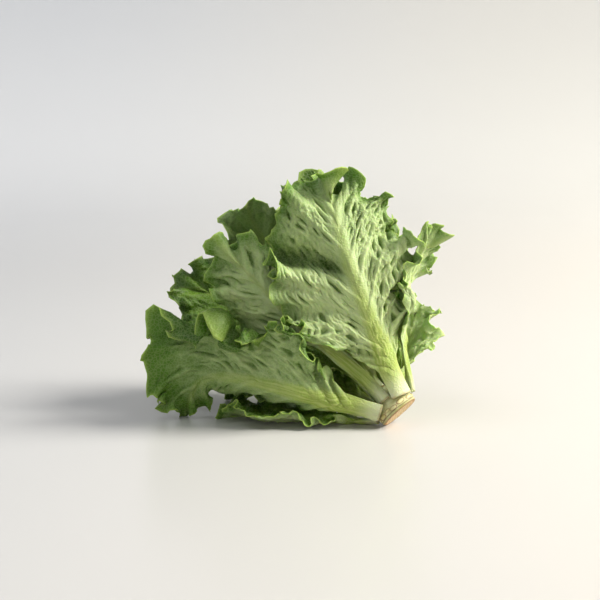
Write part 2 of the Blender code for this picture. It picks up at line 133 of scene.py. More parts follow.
# %% The leaves
BED_LEAF = "leaf_under"
LEAVES = [
    Leaf(BED_LEAF, 96, 0,
         [(0.027, 0.010, 0.002), (-0.015, 0.020, 0.0005), (-0.048, 0.031, 0.0005), (-0.074, 0.040, 0.003)],
         [(0.0, 0.0, -1.0), (0.0, 0.0, -1.0)],
         left=0.062, right=0.046, cup=(0.0, 0.9), flare=(0.0, 0.2), ruffle=0.007, phase=2.1, neck=0.12,
         foot=0.8),
    Leaf("heart_leaf_front", -20, 3,
         [(0.054, 0.013, 0.053), (0.034, 0.020, 0.077), (0.014, 0.028, 0.101), (0.002, 0.030, 0.120)],
         [(0.0, -0.95, 0.1), (0.2, -0.95, 0.3)],
         left=0.020, right=0.020, cup=(0.6, 0.6), flare=(0.2, 0.2), ruffle=0.004, phase=0.8, columns=12,
         fine=(64, 36)),
    Leaf("heart_leaf_back", 195, 3,
         [(0.059, 0.028, 0.054), (0.040, 0.042, 0.078), (0.024, 0.052, 0.102), (0.014, 0.056, 0.122)],
         [(-0.1, 0.95, 0.0), (0.0, 0.95, 0.1)],
         left=0.020, right=0.020, cup=(0.5, 0.5), flare=(0.2, 0.2), ruffle=0.004, phase=2.2, columns=12,
         fine=(64, 36)),
    Leaf("leaf_far_left", 112, 2,
         [(0.041, 0.024, 0.047), (0.000, 0.045, 0.075), (-0.046, 0.062, 0.095), (-0.089, 0.073, 0.108),
          (-0.118, 0.078, 0.118)],
         [(-0.15, 0.75, -0.6), (-0.4, 0.75, -0.4)],
         left=0.050, right=0.054, cup=(0.1, 0.6), ruffle=0.011, phase=2.9, neck=0.14),
    Leaf("leaf_back_left", 178, 2,
         [(0.046, 0.054, 0.058), (0.000, 0.088, 0.110), (-0.033, 0.094, 0.156), (-0.050, 0.084, 0.192)],
         [(-0.1, 0.95, 0.1), (-0.3, 0.85, 0.3)],
         left=0.040, right=0.056, cup=(0.3, 0.5), ruffle=0.010, phase=1.9, pale=0.35),
    Leaf("leaf_back_top", 240, 2,
         [(0.070, 0.048, 0.078), (0.052, 0.076, 0.130), (0.026, 0.082, 0.178), (0.008, 0.070, 0.214)],
         [(0.2, 0.95, 0.1), (0.1, 0.9, 0.4)],
         left=0.054, right=0.054, cup=(0.5, 0.4), ruffle=0.011, phase=0.5),
    Leaf("leaf_inner_left", 10, 1,
         [(0.040, 0.000, 0.058), (-0.002, 0.002, 0.093), (-0.040, 0.006, 0.130), (-0.075, 0.016, 0.162)],
         [(0.0, -0.95, 0.1), (-0.3, -0.9, 0.1)],
         left=0.044, right=0.040, cup=(0.3, 1.6), ruffle=0.010, phase=0.7, neck=0.42, fine=(140, 60)),
    Leaf("leaf_left_tip", 122, 1,
         [(0.027, 0.037, 0.026), (-0.037, 0.064, 0.036), (-0.090, 0.082, 0.040), (-0.142, 0.088, 0.038)],
         [(0.0, 0.35, -0.95), (-0.2, 0.2, -0.9)],
         left=0.050, right=0.038, cup=(0.4, 0.5), ruffle=0.010, phase=0.2),
    Leaf("leaf_back", 196, 1,
         [(0.076, 0.062, 0.058), (0.050, 0.100, 0.103), (0.030, 0.120, 0.145), (0.012, 0.126, 0.180)],
         [(0.25, 0.95, 0.1), (0.2, 0.95, 0.1)],
         left=0.064, right=0.064, cup=(0.6, 0.6), ruffle=0.011, phase=2.6, fine=(140, 60)),
    Leaf("leaf_right_back", 236, 1,
         [(0.094, 0.040, 0.048), (0.101, 0.062, 0.064), (0.107, 0.080, 0.080), (0.112, 0.092, 0.096)],
         [(0.5, 0.75, -0.2), (0.4, 0.85, -0.1)],
         left=0.032, right=0.032, cup=(0.5, 0.5), ruffle=0.006, phase=1.1, columns=16, fine=(96, 44),
         pale=1.1),
    Leaf("leaf_back_low", 156, 0,
         [(0.038, 0.066, 0.030), (-0.014, 0.104, 0.046), (-0.058, 0.124, 0.058), (-0.098, 0.132, 0.070)],
         [(-0.1, 0.85, -0.4), (-0.2, 0.9, -0.2)],
         left=0.062, right=0.062, cup=(0.5, 0.6), ruffle=0.011, phase=1.7, neck=0.14, foot=1.15,
         fine=(140, 60)),
    Leaf("leaf_front", -42, 0,
         [(0.070, -0.012, 0.076), (0.052, -0.018, 0.121), (0.037, -0.012, 0.164), (0.028, 0.002, 0.197),
          (0.024, 0.018, 0.224)],
         [(0.10, -0.98, 0.15), (0.12, -0.98, 0.15)],
         left=0.074, right=0.062, cup=(0.45, 0.9), ruffle=0.013, phase=0.4, neck=0.13, foot=1.3,
         creases=((-0.34, 0.022, 0.055),), bays=((-0.30, 0.2, 0.07),), columns=26, fine=(215, 110),
         frills=(1.0, 1.1)),
    Leaf("leaf_right", -100, 0,
         [(0.093, 0.008, 0.062), (0.091, 0.020, 0.098), (0.102, 0.030, 0.138), (0.132, 0.034, 0.168)],
         [(0.95, -0.15, 0.1), (0.65, -0.7, -0.1)],
         left=0.034, right=0.020, cup=(0.5, 0.5), flare=(0.4, 0.6), ruffle=0.010, phase=0.9, neck=0.26,
         foot=0.9, fine=(150, 60), pale=0.35),
    Leaf("leaf_low_front", 42, 0,
         [(0.032, -0.014, 0.026), (-0.016, -0.016, 0.033), (-0.050, -0.006, 0.047), (-0.078, 0.006, 0.044),
          (-0.097, 0.016, 0.026), (-0.102, 0.022, 0.003)],
         [(0.0, -1.0, 0.0), (-0.25, -0.95, 0.1)],
         left=0.034, right=0.066, cup=(2.2, 0.0), flare=(0.0, 0.9), ruffle=0.012, phase=1.3, neck=0.17,
         foot=1.3, bays=((0.13, 0.32, 0.09), (0.45, 0.58, 0.06), (0.60, 0.12, 0.03)), waves=(0.35, 1.0),
         columns=26, fine=(200, 96), pale=-0.6, blisters=0.75, frills=(0.3, 1.7)),
]
print("leaves:", len(LEAVES))


# %% [markdown]
# ## Small helpers
# `unit` makes a direction one long. `ease` goes smoothly from 0 to 1, and `hill` rises to 1 and falls
# again, so that nothing starts or stops with a corner. The stump's radius comes from its profile.

# %% Directions and smooth steps
def unit(v):
    v = np.asarray(v, float)
    return v / np.maximum(np.linalg.norm(v, axis=-1, keepdims=True), 1e-12)


def ease(x):
    x = np.clip(x, 0, 1)
    return x * x * (3 - 2 * x)


def hill(x):
    return np.exp(-(x**2))


HEAD_AXIS = unit(HEAD_AXIS)
HEAD_FRONT = unit(np.array([0.0, -1.0, 0.0]) + HEAD_AXIS * HEAD_AXIS[1])
HEAD_SIDE = np.cross(HEAD_FRONT, HEAD_AXIS)


def stump_radius(height):
    heights, shares = zip(*STUMP_PROFILE)
    return STUMP_RADIUS * np.interp(height, heights, shares)


def foot_width(leaf):
    """Half the width of a leaf's foot."""
    return FOOT_HALF_WIDTH[leaf.ring] * leaf.foot


def leaf_foot(leaf):
    """Where a leaf leaves the stump, and the direction straight out from the head's axis there."""
    angle = math.radians(leaf.turn)
    out = HEAD_FRONT * math.cos(angle) + HEAD_SIDE * math.sin(angle)
    height = RING_HEIGHT[leaf.ring]
    reach = stump_radius(height) + BLADE_THICKNESS / 2 + STUMP_GAP
    return CUT_CENTRE + HEAD_AXIS * height + out * reach, out


print("the stump is", round(2000 * STUMP_RADIUS), "mm across at its cut")


# %% [markdown]
# ## The rib
# A leaf's rib is a smooth curve. One polynomial through its few points gives that, where a chain of short
# arcs would show a joint at each point. At every place along it the leaf has three directions of its own:
# onwards to the tip, sideways, and outwards from the head.

# %% A smooth curve, and the directions along it
RIB_POINTS = 60
CURVE_POINTS = 200
HIGHEST_POWER = 4


def run_along(points):
    """How far along a line of points each of them lies."""
    return np.concatenate([[0], np.cumsum(np.linalg.norm(np.diff(points, axis=0), axis=1))])


def even_line(points):
    """Points evenly spaced along one smooth curve through the given ones, and its length."""
    points = np.asarray(points, float)
    knots = run_along(points)
    fit = np.polyfit(knots / knots[-1], points, min(len(points) - 1, HIGHEST_POWER))
    share = np.linspace(0, 1, CURVE_POINTS)
    curve = np.stack([np.polyval(fit[:, k], share) for k in range(3)], axis=1)
    run = run_along(curve)
    even = np.linspace(0, run[-1], RIB_POINTS)
    return np.stack([np.interp(even, run, curve[:, k]) for k in range(3)], axis=1), run[-1]


def rib_line(leaf):
    """Points along the rib, its tangent, the leaf's side and its outer normal at each, and its length."""
    foot, out = leaf_foot(leaf)
    line, length = even_line([foot, *leaf.spine])
    tangent = unit(np.gradient(line, axis=0))
    along = np.linspace(0, 1, RIB_POINTS)[:, None]
    half, tip = unit(leaf.faces[0]), unit(leaf.faces[1])
    early, late = ease(along / 0.35), np.clip((along - 0.35) / 0.65, 0, 1)
    facing = out * (1 - early) + half * early * (1 - late) + tip * late
    normal = unit(facing - tangent * np.sum(facing * tangent, axis=1, keepdims=True))
    return line, tangent, np.cross(tangent, normal), normal, length


print("rib lengths in mm:", [round(1000 * rib_line(leaf)[4]) for leaf in LEAVES])


# %% [markdown]
# ## The outline
# Laid flat, a lettuce leaf is a bare stalk that opens into a broad fan. Its margin is read by the distance
# along it, because the ruffles run along the margin and should be as long on the flank as at the tip.

# %% Half of the flat leaf's margin
WIDEST_AT = 0.60
RIB_END = 0.90
EDGE_POINTS = 60


def outline(width, foot, neck):
    """Half of the flat leaf's margin from foot to tip, in shares of its length, read by arc length."""
    y = np.linspace(0, WIDEST_AT, EDGE_POINTS)
    rise = np.sin(np.clip((y - neck) / (WIDEST_AT - neck), 0, 1) * math.pi / 2) ** 1.3
    x = foot + (width - foot) * rise
    turn = np.linspace(0, math.pi / 2, EDGE_POINTS)[1:]
    x = np.concatenate([x, width * np.cos(turn) ** 0.9])
    y = np.concatenate([y, WIDEST_AT + (1 - WIDEST_AT) * np.sin(turn)])
    run = np.concatenate([[0], np.cumsum(np.hypot(np.diff(x), np.diff(y)))])
    return run / run[-1], x, y, run[-1]


# %% [markdown]
# ## The smooth form of a leaf
# A leaf is read by two numbers: m runs along the margin from the foot, -1, over the tip, 0, to the foot
# again, 1, and r runs from the rib, 0, out to the margin, 1. The form bends in steps from the rib outwards,
# so that a deep cup keeps the blade's real width, which a mere push of a flat leaf would stretch.

# %% The large waves
WAVE_LENGTH = 0.058
LOBE = 0.09


def by_half(m, pair):
    """The first of two values on a leaf's left half, and the second on its right half."""
    return np.where(m < 0, *pair)


def ruffle(leaf, m, r, waves):
    """How far the blade stands off its smooth form, outwards and along the leaf, at margin places m from
    -1 to 1 and at shares r of the way from the rib to the margin."""
    wander = 0.9 * np.sin(2.1 * math.pi * m + leaf.phase) + 0.6 * np.sin(5.3 * math.pi * m + 2 * leaf.phase)
    angle = 2 * math.pi * waves * m + wander + 3 * leaf.phase
    swell = leaf.ruffle * (0.8 + 0.3 * np.sin(3.7 * math.pi * m + 5 * leaf.phase))
    swell = swell * np.interp(m, (-0.15, 0.15), leaf.waves)
    outwards = swell * r**2.2 * np.sin(angle)
    sideways = -0.3 * swell * r**3 * np.sin(2 * angle)
    for place, depth, width in leaf.creases:
        outwards = outwards - depth * hill((m - place) / width) * r**0.8 * (1.6 - 0.6 * r)
    return outwards, sideways


# %% The flat leaf
def flat_leaf(leaf, m, r, length):
    """The flat leaf's places in shares of its length: across, along, the margin's along, and the waves."""
    q = 1 - np.abs(m)
    x_edge, y_edge, perimeter = np.zeros_like(m), np.zeros_like(m), 0.0
    for half, width in ((m < 0, leaf.left), (m >= 0, leaf.right)):
        run, x, y, total = outline(width / length, foot_width(leaf) / length, leaf.neck)
        x_edge = np.where(half, np.interp(q, run, x), x_edge)
        y_edge = np.where(half, np.interp(q, run, y), y_edge)
        perimeter += total * length
    waves = perimeter / WAVE_LENGTH / 2
    lobes = 1 + LOBE * r**3 * np.sin(1.6 * math.pi * waves * m + 7 * leaf.phase)
    for place, cut, width in leaf.bays:
        lobes = lobes - cut * r**3 * hill((m - place) / width)
    y_rib = RIB_END * q**1.15
    return x_edge * r**1.25 * lobes, y_rib + (y_edge - y_rib) * r, y_edge, waves


# %% The leaf in its place
BEND_STEPS = 24


def leaf_surface(leaf, m, r):
    """The blade's middle surface at places m and shares r, with its outer side and its rib."""
    line, tangent, side, normal, length = rib_line(leaf)
    sign = by_half(m, (-1.0, 1.0))
    x, y, y_edge, waves = flat_leaf(leaf, m, r, length)
    x = x * length
    at = np.linspace(0, 1, len(line))

    def read(values):
        return np.stack([np.interp(y, at, values[:, k]) for k in range(3)], axis=-1)

    centre, ahead, across, out = read(line), unit(read(tangent)), unit(read(side)), unit(read(normal))
    opened = ease(y / 0.35)
    widest = by_half(m, (leaf.left, leaf.right))
    cup = by_half(m, leaf.cup) / widest
    bend = cup * opened + (1 - opened) / stump_radius(RING_HEIGHT[leaf.ring])
    flare = 1.5 * by_half(m, leaf.flare) * opened
    away, raised = np.zeros_like(x), np.zeros_like(x)
    for k in range(BEND_STEPS):
        reach = x * (k + 0.5) / BEND_STEPS
        angle = flare * (reach / widest) ** 3 - bend * reach
        away += np.cos(angle) * x / BEND_STEPS
        raised += np.sin(angle) * x / BEND_STEPS
    angle = flare * (x / widest) ** 3 - bend * x
    facing = unit(out * np.cos(angle)[..., None] - across * (sign * np.sin(angle))[..., None])
    blade = ease((y_edge - leaf.neck) / 0.25)
    outwards, sideways = ruffle(leaf, m, r, waves)
    place = centre + across * (sign * away)[..., None] + out * raised[..., None]
    place = place + facing * (outwards * blade)[..., None] + ahead * (sideways * blade)[..., None]
    slim = foot_width(leaf) * (1.15 - 0.75 * y)
    rib = FOOT_RIB[leaf.ring] * (0.1 + 0.9 * np.clip(1 - y, 0, 1) ** 1.3) * hill(x / slim)
    return place, facing, rib


# %% [markdown]
# ## A net of points
# Both halves of a leaf share the points of its rib, so that it is one skin with no seam down its middle.
# The same net is made twice: a coarse one to find out where the leaf has room, and a fine one to show.

# %% The net, its triangles and their normals
ROW_SHARES = (0.0, 0.13, 0.36, 0.58, 0.79, 1.0)


def grid(columns, row_shares):
    """The places m and shares r of a leaf's grid, and the number of each grid point's vertex.
    The two halves share the vertices of the rib."""
    m, r = np.meshgrid(np.linspace(-1, 1, 2 * columns + 1), np.asarray(row_shares), indexing="ij")
    number = np.arange(m.size).reshape(m.shape)
    number[columns + 1:] -= np.arange(1, columns + 1)[:, None]
    number[columns + 1:, 0] = number[columns - 1::-1, 0]
    return m, r, number


def by_vertex(values, number):
    """The values at a grid's points, in the order of its vertices."""
    listed = np.zeros((number.max() + 1, *values.shape[2:]))
    listed[number.reshape(-1)] = values.reshape(number.size, *values.shape[2:])
    return listed


def split(place, number):
    """Triangles of a grid that face the leaf's outer side, each square split along its shorter diagonal."""
    faces = []
    for i in range(number.shape[0] - 1):
        for j in range(number.shape[1] - 1):
            a, b, c, d = number[i, j], number[i + 1, j], number[i + 1, j + 1], number[i, j + 1]
            if np.linalg.norm(place[a] - place[c]) < np.linalg.norm(place[b] - place[d]):
                faces += [(a, b, c), (a, c, d)]
            else:
                faces += [(a, b, d), (b, c, d)]
    return np.array(faces)


def vertex_normals(place, faces):
    corners = place[faces]
    flat = np.cross(corners[:, 1] - corners[:, 0], corners[:, 2] - corners[:, 0])
    total = np.zeros_like(place)
    for k in range(3):
        np.add.at(total, faces[:, k], flat)
    return unit(total)


def smoothed(values, faces):
    """Each vertex's value, half its own and half the mean of its neighbours'."""
    total, count = np.zeros_like(values), np.zeros(len(values))
    for a, b in ((0, 1), (1, 2), (2, 0)):
        for start, end in ((a, b), (b, a)):
            np.add.at(total, faces[:, start], values[faces[:, end]])
            np.add.at(count, faces[:, start], 1)
    return 0.5 * values + 0.5 * total / count[:, None]


print("points of the first coarse leaf:", grid(LEAVES[0].columns, ROW_SHARES)[2].max() + 1)

# %% [markdown]
# ## Bending leaves clear of each other
# Real leaves grow pressed together and never pass through one another. A cloth simulation could find such
# a state, but it moves the leaves away from where the photograph shows them, and it takes long. This way
# each leaf in turn, from the heart outwards, is pushed off the ones inside it along their own normals, and
# the push is smoothed over the leaf, so it bends as a whole instead of denting.

# %% How leaves keep their distance
CLEARANCE = 0.0014
STALK_CLEARANCE = 0.0005
OPEN_FROM_STUMP = 0.08
REACH = 0.024
NESTING = 0.15
REACH_NEAR_STUMP = 0.18
CORNER_REACH = 0.006
EXTRA_ROOM = 0.0005
MOST_MOVE = 0.14
BENDING_ROUNDS = 60
LAST_ROUNDS = 44
FACING_SHARE = 0.75
STUMP_MARGIN = 0.001


def tree_of(place, faces):
    return BVHTree.FromPolygons([Vector(p) for p in place], [tuple(map(int, f)) for f in faces])


class Placed:
    """The middle surface of a leaf that has its place, for the next ones to keep clear of."""

    def __init__(self, name, place, faces, rib, solid):
        self.name = name
        self.place = place
        self.own_rib = rib
        self.rib = rib[faces].max(axis=1)
        self.tree = tree_of(place, faces)
        self.solid = tree_of(*solid)


def nearest(tree, place, reach):
    """For each point within reach of a surface: its nearest spot, the normal, the distance, the face."""
    spot, normal = np.zeros_like(place), np.zeros_like(place)
    distance, face = np.full(len(place), np.inf), np.zeros(len(place), int)
    for k, p in enumerate(place):
        found, facing, index, away = tree.find_nearest(Vector(p), reach)
        if found is not None:
            spot[k], normal[k], distance[k], face[k] = found, facing, away, index
    return spot, normal, distance, face


def from_stump(place):
    """How far each point is from the middle of the stump."""
    return np.linalg.norm(place - CUT_CENTRE - HEAD_AXIS * RING_HEIGHT[1], axis=1)


def room_near(place):
    """The clearance and the reach at each point. Both shrink near the stump, where leaves are packed."""
    away = from_stump(place)
    room = STALK_CLEARANCE + CLEARANCE * ease(away / OPEN_FROM_STUMP)
    return BLADE_THICKNESS + room, np.minimum(REACH, REACH_NEAR_STUMP * away)


# %% Pushing a leaf off another
def push_from_leaf(place, normals, rib, extra, other, sides):
    """How far each vertex moves to be clear of one placed leaf. Leaves that face the same way nest,
    the new one outside. Otherwise the new leaf stays on the side where most of it is."""
    spot, facing, distance, face = nearest(other.tree, place, REACH)
    room, reach = room_near(place)
    off = place - spot
    height = np.sum(off * facing, axis=1)
    near = distance < reach
    over = near & (np.abs(height) > FACING_SHARE * distance)
    if other.name not in sides:
        if not over.any():
            return np.zeros_like(place)
        alike = np.sum(normals * facing, axis=1)[over].mean()
        nests = alike > NESTING
        sides[other.name] = (1.0 if nests else float(np.sign(np.median(height[over])) or 1.0)), alike
        if other.name == BED_LEAF:
            sides[other.name] = -1.0, alike
    side = sides[other.name][0]
    want = room + extra + (other.rib[face] if side > 0 else rib)
    push = facing * (side * np.clip(np.where(over, want - side * height, 0.0), 0, REACH))[:, None]
    beside = near & ~over & (distance < want)
    return push + unit(off) * np.where(beside, want - distance, 0.0)[:, None]


def push_from_corners(place, faces, normals, rib, other, sides):
    """The same as seen from the placed leaf: its corners push the new leaf's triangles outwards,
    or inwards off the leaf that they all lie on."""
    push = np.zeros_like(place)
    if other.name not in sides or abs(sides[other.name][1]) < NESTING:
        return push
    way = -1.0 if other.name == BED_LEAF else 1.0
    room, _ = room_near(other.place)
    spot, facing, distance, face = nearest(tree_of(place, faces), other.place, CORNER_REACH)
    height = way * np.sum((other.place - spot) * facing, axis=1)
    want = room + (other.own_rib if sides[other.name][0] > 0 else rib[faces[face, 0]])
    hit = (distance < CORNER_REACH) & (np.abs(height) > FACING_SHARE * distance) & (height > -want)
    for k in np.flatnonzero(hit):
        for corner in faces[face[k]]:
            lack = want[k] + height[k]
            if np.linalg.norm(push[corner]) < lack:
                push[corner] = facing[k] * lack * way
    return push


def push_from_stump(place):
    """How far each vertex moves to be clear of the stump."""
    off = place - CUT_CENTRE
    height = off @ HEAD_AXIS
    out = off - height[:, None] * HEAD_AXIS
    lack = stump_radius(height) + BLADE_THICKNESS / 2 + STUMP_GAP - np.linalg.norm(out, axis=1)
    inside = (lack > 0) & (height > -STUMP_MARGIN) & (height < STUMP_PROFILE[-1][0] + STUMP_MARGIN)
    return unit(out) * np.where(inside, lack, 0.0)[:, None]


# %% Finding what still crosses
def blade_solid(place, faces, rib):
    """Vertices and triangles of the closed blade round a middle surface."""
    normals = vertex_normals(place, faces)
    outer = place + normals * (BLADE_THICKNESS / 2 + rib)[:, None]
    inner = place - normals * BLADE_THICKNESS / 2
    outer[:, 2] = np.maximum(outer[:, 2], 0.0)
    inner[:, 2] = np.maximum(inner[:, 2], 0.0)
    count = len(place)
    triangles = [tuple(f) for f in faces.tolist()] + [tuple(f) for f in (faces[:, ::-1] + count).tolist()]
    edges = {(f[k], f[(k + 1) % 3]) for f in faces.tolist() for k in range(3)}
    for a, b in sorted(edge for edge in edges if edge[::-1] not in edges):
        triangles += [(b, a, a + count), (b, a + count, b + count)]
    return np.concatenate([outer, inner]), triangles


def crossing(place, faces, rib, placed):
    """Marks, from 0 to 1, the vertices next to triangles of the blade that cross the blade itself,
    and those next to triangles that cross a placed leaf."""
    vertices, triangles = blade_solid(place, faces, rib)
    tree = tree_of(vertices, triangles)
    marks = np.zeros((len(place), 2))
    for a, b in tree.overlap(tree):
        if a < b and not set(triangles[a]) & set(triangles[b]):
            for corner in triangles[a] + triangles[b]:
                marks[corner % len(place), 0] = 1.0
    for other in placed:
        for mine, _ in tree.overlap(other.solid):
            for corner in triangles[mine]:
                marks[corner % len(place), 1] = 1.0
    return np.minimum(1, 2 * smoothed(marks, faces)).T


# %% Bending one leaf
def bend_clear(leaf, place, faces, rib, placed):
    """A leaf's vertices, moved off the leaves inside it, off the stump and up on to the table."""
    floor = RING_FLOOR[leaf.ring] + BLADE_THICKNESS / 2
    away = from_stump(place)
    most = MOST_MOVE * away * (1 + (away / OPEN_FROM_STUMP) ** 2)
    sides = {}
    moved, extra = np.zeros_like(place), np.zeros(len(place))
    for turn in range(BENDING_ROUNDS):
        now = place + moved
        normals = vertex_normals(now, faces)
        push = np.zeros_like(place)
        for other in placed:
            push += push_from_leaf(now + push, normals, rib, extra, other, sides)
            push += push_from_corners(now + push, faces, normals, rib, other, sides)
        moved += push
        if turn < BENDING_ROUNDS - LAST_ROUNDS:
            moved = smoothed(moved, faces)
        else:
            mine, others = crossing(place + moved, faces, rib, placed)
            if turn > BENDING_ROUNDS - LAST_ROUNDS and not mine.any() and not others.any():
                break
            extra += EXTRA_ROOM * others
            now = place + moved
            moved += (smoothed(now, faces) - now) * mine[:, None]
        length = np.linalg.norm(moved, axis=1)
        moved *= np.minimum(1, most / np.maximum(length, 1e-9))[:, None]
        moved += push_from_stump(place + moved)
        moved[:, 2] += np.maximum(0, floor - (place + moved)[:, 2])
    return place + moved


# %% Bend them all, from the heart outwards
placed = []
shifts = {}
for leaf in LEAVES:
    m, r, number = grid(leaf.columns, ROW_SHARES)
    surface, _, stalk = leaf_surface(leaf, m, r)
    place, rib = by_vertex(surface, number), by_vertex(stalk, number)
    faces = split(place, number)
    bent = bend_clear(leaf, place, faces, rib, placed)
    placed.append(Placed(leaf.name, bent, faces, rib, blade_solid(bent, faces, rib)))
    shifts[leaf.name] = (bent - place)[number]
print("moved furthest, in mm:", {name: round(1000 * float(np.abs(s).max())) for name, s in shifts.items()})

# %% [markdown]
# ## From the coarse leaf to the fine one
# The coarse net knows how far each part of a leaf had to move. A spline through those moves carries them
# over to a net with hundreds of times more points, and the formula itself gives the rest at any fineness.

# %% Read a spline through a few values
def spline_weights(knots, at):
    """Weights that read a natural cubic spline, through values at the knots, at other places."""
    knots = np.asarray(knots, float)
    count = len(knots)
    gap = np.diff(knots)
    left, right = np.eye(count), np.zeros((count, count))
    for k in range(1, count - 1):
        left[k, k - 1:k + 2] = gap[k - 1] / 6, (gap[k - 1] + gap[k]) / 3, gap[k] / 6
        right[k, k - 1:k + 2] = 1 / gap[k - 1], -1 / gap[k - 1] - 1 / gap[k], 1 / gap[k]
    curved = np.linalg.solve(left, right)
    span = np.clip(np.searchsorted(knots, at) - 1, 0, count - 2)
    a = (knots[span + 1] - at) / gap[span]
    b = 1 - a
    bow_a = ((a**3 - a) * gap[span] ** 2 / 6)[:, None]
    bow_b = ((b**3 - b) * gap[span] ** 2 / 6)[:, None]
    one = np.eye(count)
    straight = a[:, None] * one[span] + b[:, None] * one[span + 1]
    return straight + bow_a * curved[span] + bow_b * curved[span + 1]


def fine_shift(leaf, m_line, r_line):
    """The coarse leaf's moves, read on the fine net."""
    along = spline_weights(np.linspace(-1, 1, 2 * leaf.columns + 1), m_line)
    outward = spline_weights(ROW_SHARES, r_line)
    return np.einsum("ai,ijk,bj->abk", along, shifts[leaf.name], outward)


# %% Directions on the fine net
def net_directions(place, number):
    """Along the margin, from the rib outwards, and the outer normal, at each point of a fine net."""
    along = np.gradient(place, axis=0)
    outward = np.gradient(place, axis=1)
    total = np.zeros((number.max() + 1, 3))
    np.add.at(total, number.reshape(-1), unit(np.cross(along, outward)).reshape(-1, 3))
    return unit(along), unit(outward), unit(total)[number]


# %% [markdown]
# ## Veins and blisters
# Side veins leave the rib at a slant, closer to the rib's own direction towards the tip. The blade between
# them bulges inwards in blisters, so the outer side shows pits in a raised net. Noise alone would have no
# direction. Here the pits are cells round scattered points, in a coordinate that follows the veins, drawn
# out near the rib and round near the margin.

# %% Steady scatter and cells
def scatter(i, j, seed):
    """A steady number from 0 to 1 for each pair of whole numbers."""
    mixed = np.sin(i * 127.1 + j * 311.7 + seed * 74.7) * 43758.5453
    return mixed - np.floor(mixed)


def cells(u, v, seed):
    """For places in cell sizes: how far each is from its cell's wall, and a number of the cell's own."""
    first, second, own = np.full(u.shape, 9.0), np.full(u.shape, 9.0), np.zeros(u.shape)
    for step_u in (-1, 0, 1):
        for step_v in (-1, 0, 1):
            i, j = np.floor(u) + step_u, np.floor(v) + step_v
            centre_u = i + 0.5 + 0.8 * (scatter(i, j, seed) - 0.5)
            centre_v = j + 0.5 + 0.8 * (scatter(i, j, seed + 1) - 0.5)
            away = np.hypot(u - centre_u, v - centre_v)
            second = np.minimum(second, np.maximum(first, away))
            own = np.where(away < first, scatter(i, j, seed + 2), own)
            first = np.minimum(first, away)
    return second - first, own


# %% Where each vein leaves the rib
VEIN_SLANT = math.radians(34)
FIRST_VEIN_SLANT = math.radians(66)
FAN_BELOW = 0.035
FAN_ABOVE = 0.060
LOWEST_ROOT = -0.12
HALVINGS = 26


def vein_slant(root):
    """The angle between the rib and the vein that leaves it at this distance from the foot."""
    share = ease((root + FAN_BELOW) / (FAN_BELOW + FAN_ABOVE))
    return FIRST_VEIN_SLANT + (VEIN_SLANT - FIRST_VEIN_SLANT) * share


def vein_root(x, y):
    """How far from the foot the vein leaves the rib that passes through a place on the flat leaf."""
    low, high = np.full(x.shape, LOWEST_ROOT), y.copy()
    for _ in range(HALVINGS):
        middle = (low + high) / 2
        reached = (y - middle) * np.tan(vein_slant(middle)) > x
        low = np.where(reached, middle, low)
        high = np.where(reached, high, middle)
    return (low + high) / 2


# %% The relief of the blade
VEIN_GAP = 0.024
CELL_WIDTH = 0.0080
CELL_LENGTH = 0.024
CELL_STRETCH = 1.3
CELL_GROWTH = 12
HALVES_APART = 37
DIMPLE_SIZE = 0.0046
PIT = 0.0030
FURROW = 0.0018
DIMPLE = 0.0014
CRINKLE = 0.0006
SWELL = 0.0014
VEIN_HEIGHT = 0.0009
VEIN_WIDTH = 0.0013


def relief(leaf, length, m, x, y, from_margin, seed):
    """How far the blade stands out on its veins and between them, and masks of veins, pits and painted
    crease shade.
    """
    sign = by_half(m, (-1.0, 1.0))
    wander = 0.0015 * np.sin(x / 0.013 + 9 * leaf.phase) + 0.0009 * np.sin(y / 0.008 + x / 0.009)
    root = vein_root(x, y) + wander * ease(x / 0.02)
    slant = vein_slant(root)
    reach = x / np.sin(slant)
    lane = root / VEIN_GAP + 0.25 * sign + leaf.phase
    between = lane - np.floor(lane)
    gap = np.minimum(between, 1 - between) * VEIN_GAP * np.sin(slant)
    width = VEIN_WIDTH * (1.25 - 0.7 * ease(reach / 0.07))
    vein = hill(gap / width) * (1 - ease((reach - 0.045) / 0.05))
    depth = 0.35 + 0.9 * scatter(np.floor(lane), sign, seed)
    inner_part = ease(reach / 0.010) * (1 - ease((reach - 0.028) / 0.035))
    furrow = np.sin(math.pi * between) ** 2 * depth * inner_part
    u = root / CELL_WIDTH + HALVES_APART * sign + 0.3 * np.sin(root / 0.011 + x / 0.012)
    outer_way = CELL_STRETCH * x
    v = outer_way / CELL_LENGTH * (1 + CELL_GROWTH * outer_way) + 0.15 * np.sin(root / 0.006)
    wall, own = cells(u, v, seed)
    pit = ease((wall - 0.22) / 0.5) * (0.2 + 1.05 * ease((own - 0.15) / 0.5))
    # The crease mask: where the material darkens the deep fold with painted shade.
    crease_shade = np.zeros_like(x)
    for place, _, width in leaf.creases:
        crease_shade += hill((m - place) / (0.7 * width)) * ease(x / 0.012)
    u_small, v_small = u * CELL_WIDTH / DIMPLE_SIZE, v * CELL_WIDTH / DIMPLE_SIZE * 1.5
    small_wall, small_own = cells(u_small, v_small, seed + 7)
    dimple = ease(small_wall / 0.6) * (0.3 + 0.9 * small_own)
    slim = foot_width(leaf) * (1.15 - 0.75 * y / length)
    away = ease((x - 0.5 * slim) / 0.010) * ease((from_margin - 0.001) / 0.008)
    crinkle = np.sin(4.4 * u + 1.3 * np.sin(2.3 * v)) * np.sin(3.1 * v + 1.1 * np.sin(2.1 * u))
    swell = np.sin(x / 0.0068 + 3 * leaf.phase + sign) * np.sin(y / 0.0081 + 2 * leaf.phase)
    raised = VEIN_HEIGHT * vein * ease(x / 0.006) + SWELL * swell * ease(x / 0.02)
    raised -= (FURROW * furrow + PIT * pit + DIMPLE * dimple - CRINKLE * crinkle) * away
    pits = np.clip(0.2 * furrow + 0.75 * pit + 0.2 * dimple, 0, 1) * away
    return raised, vein, pits, crease_shade


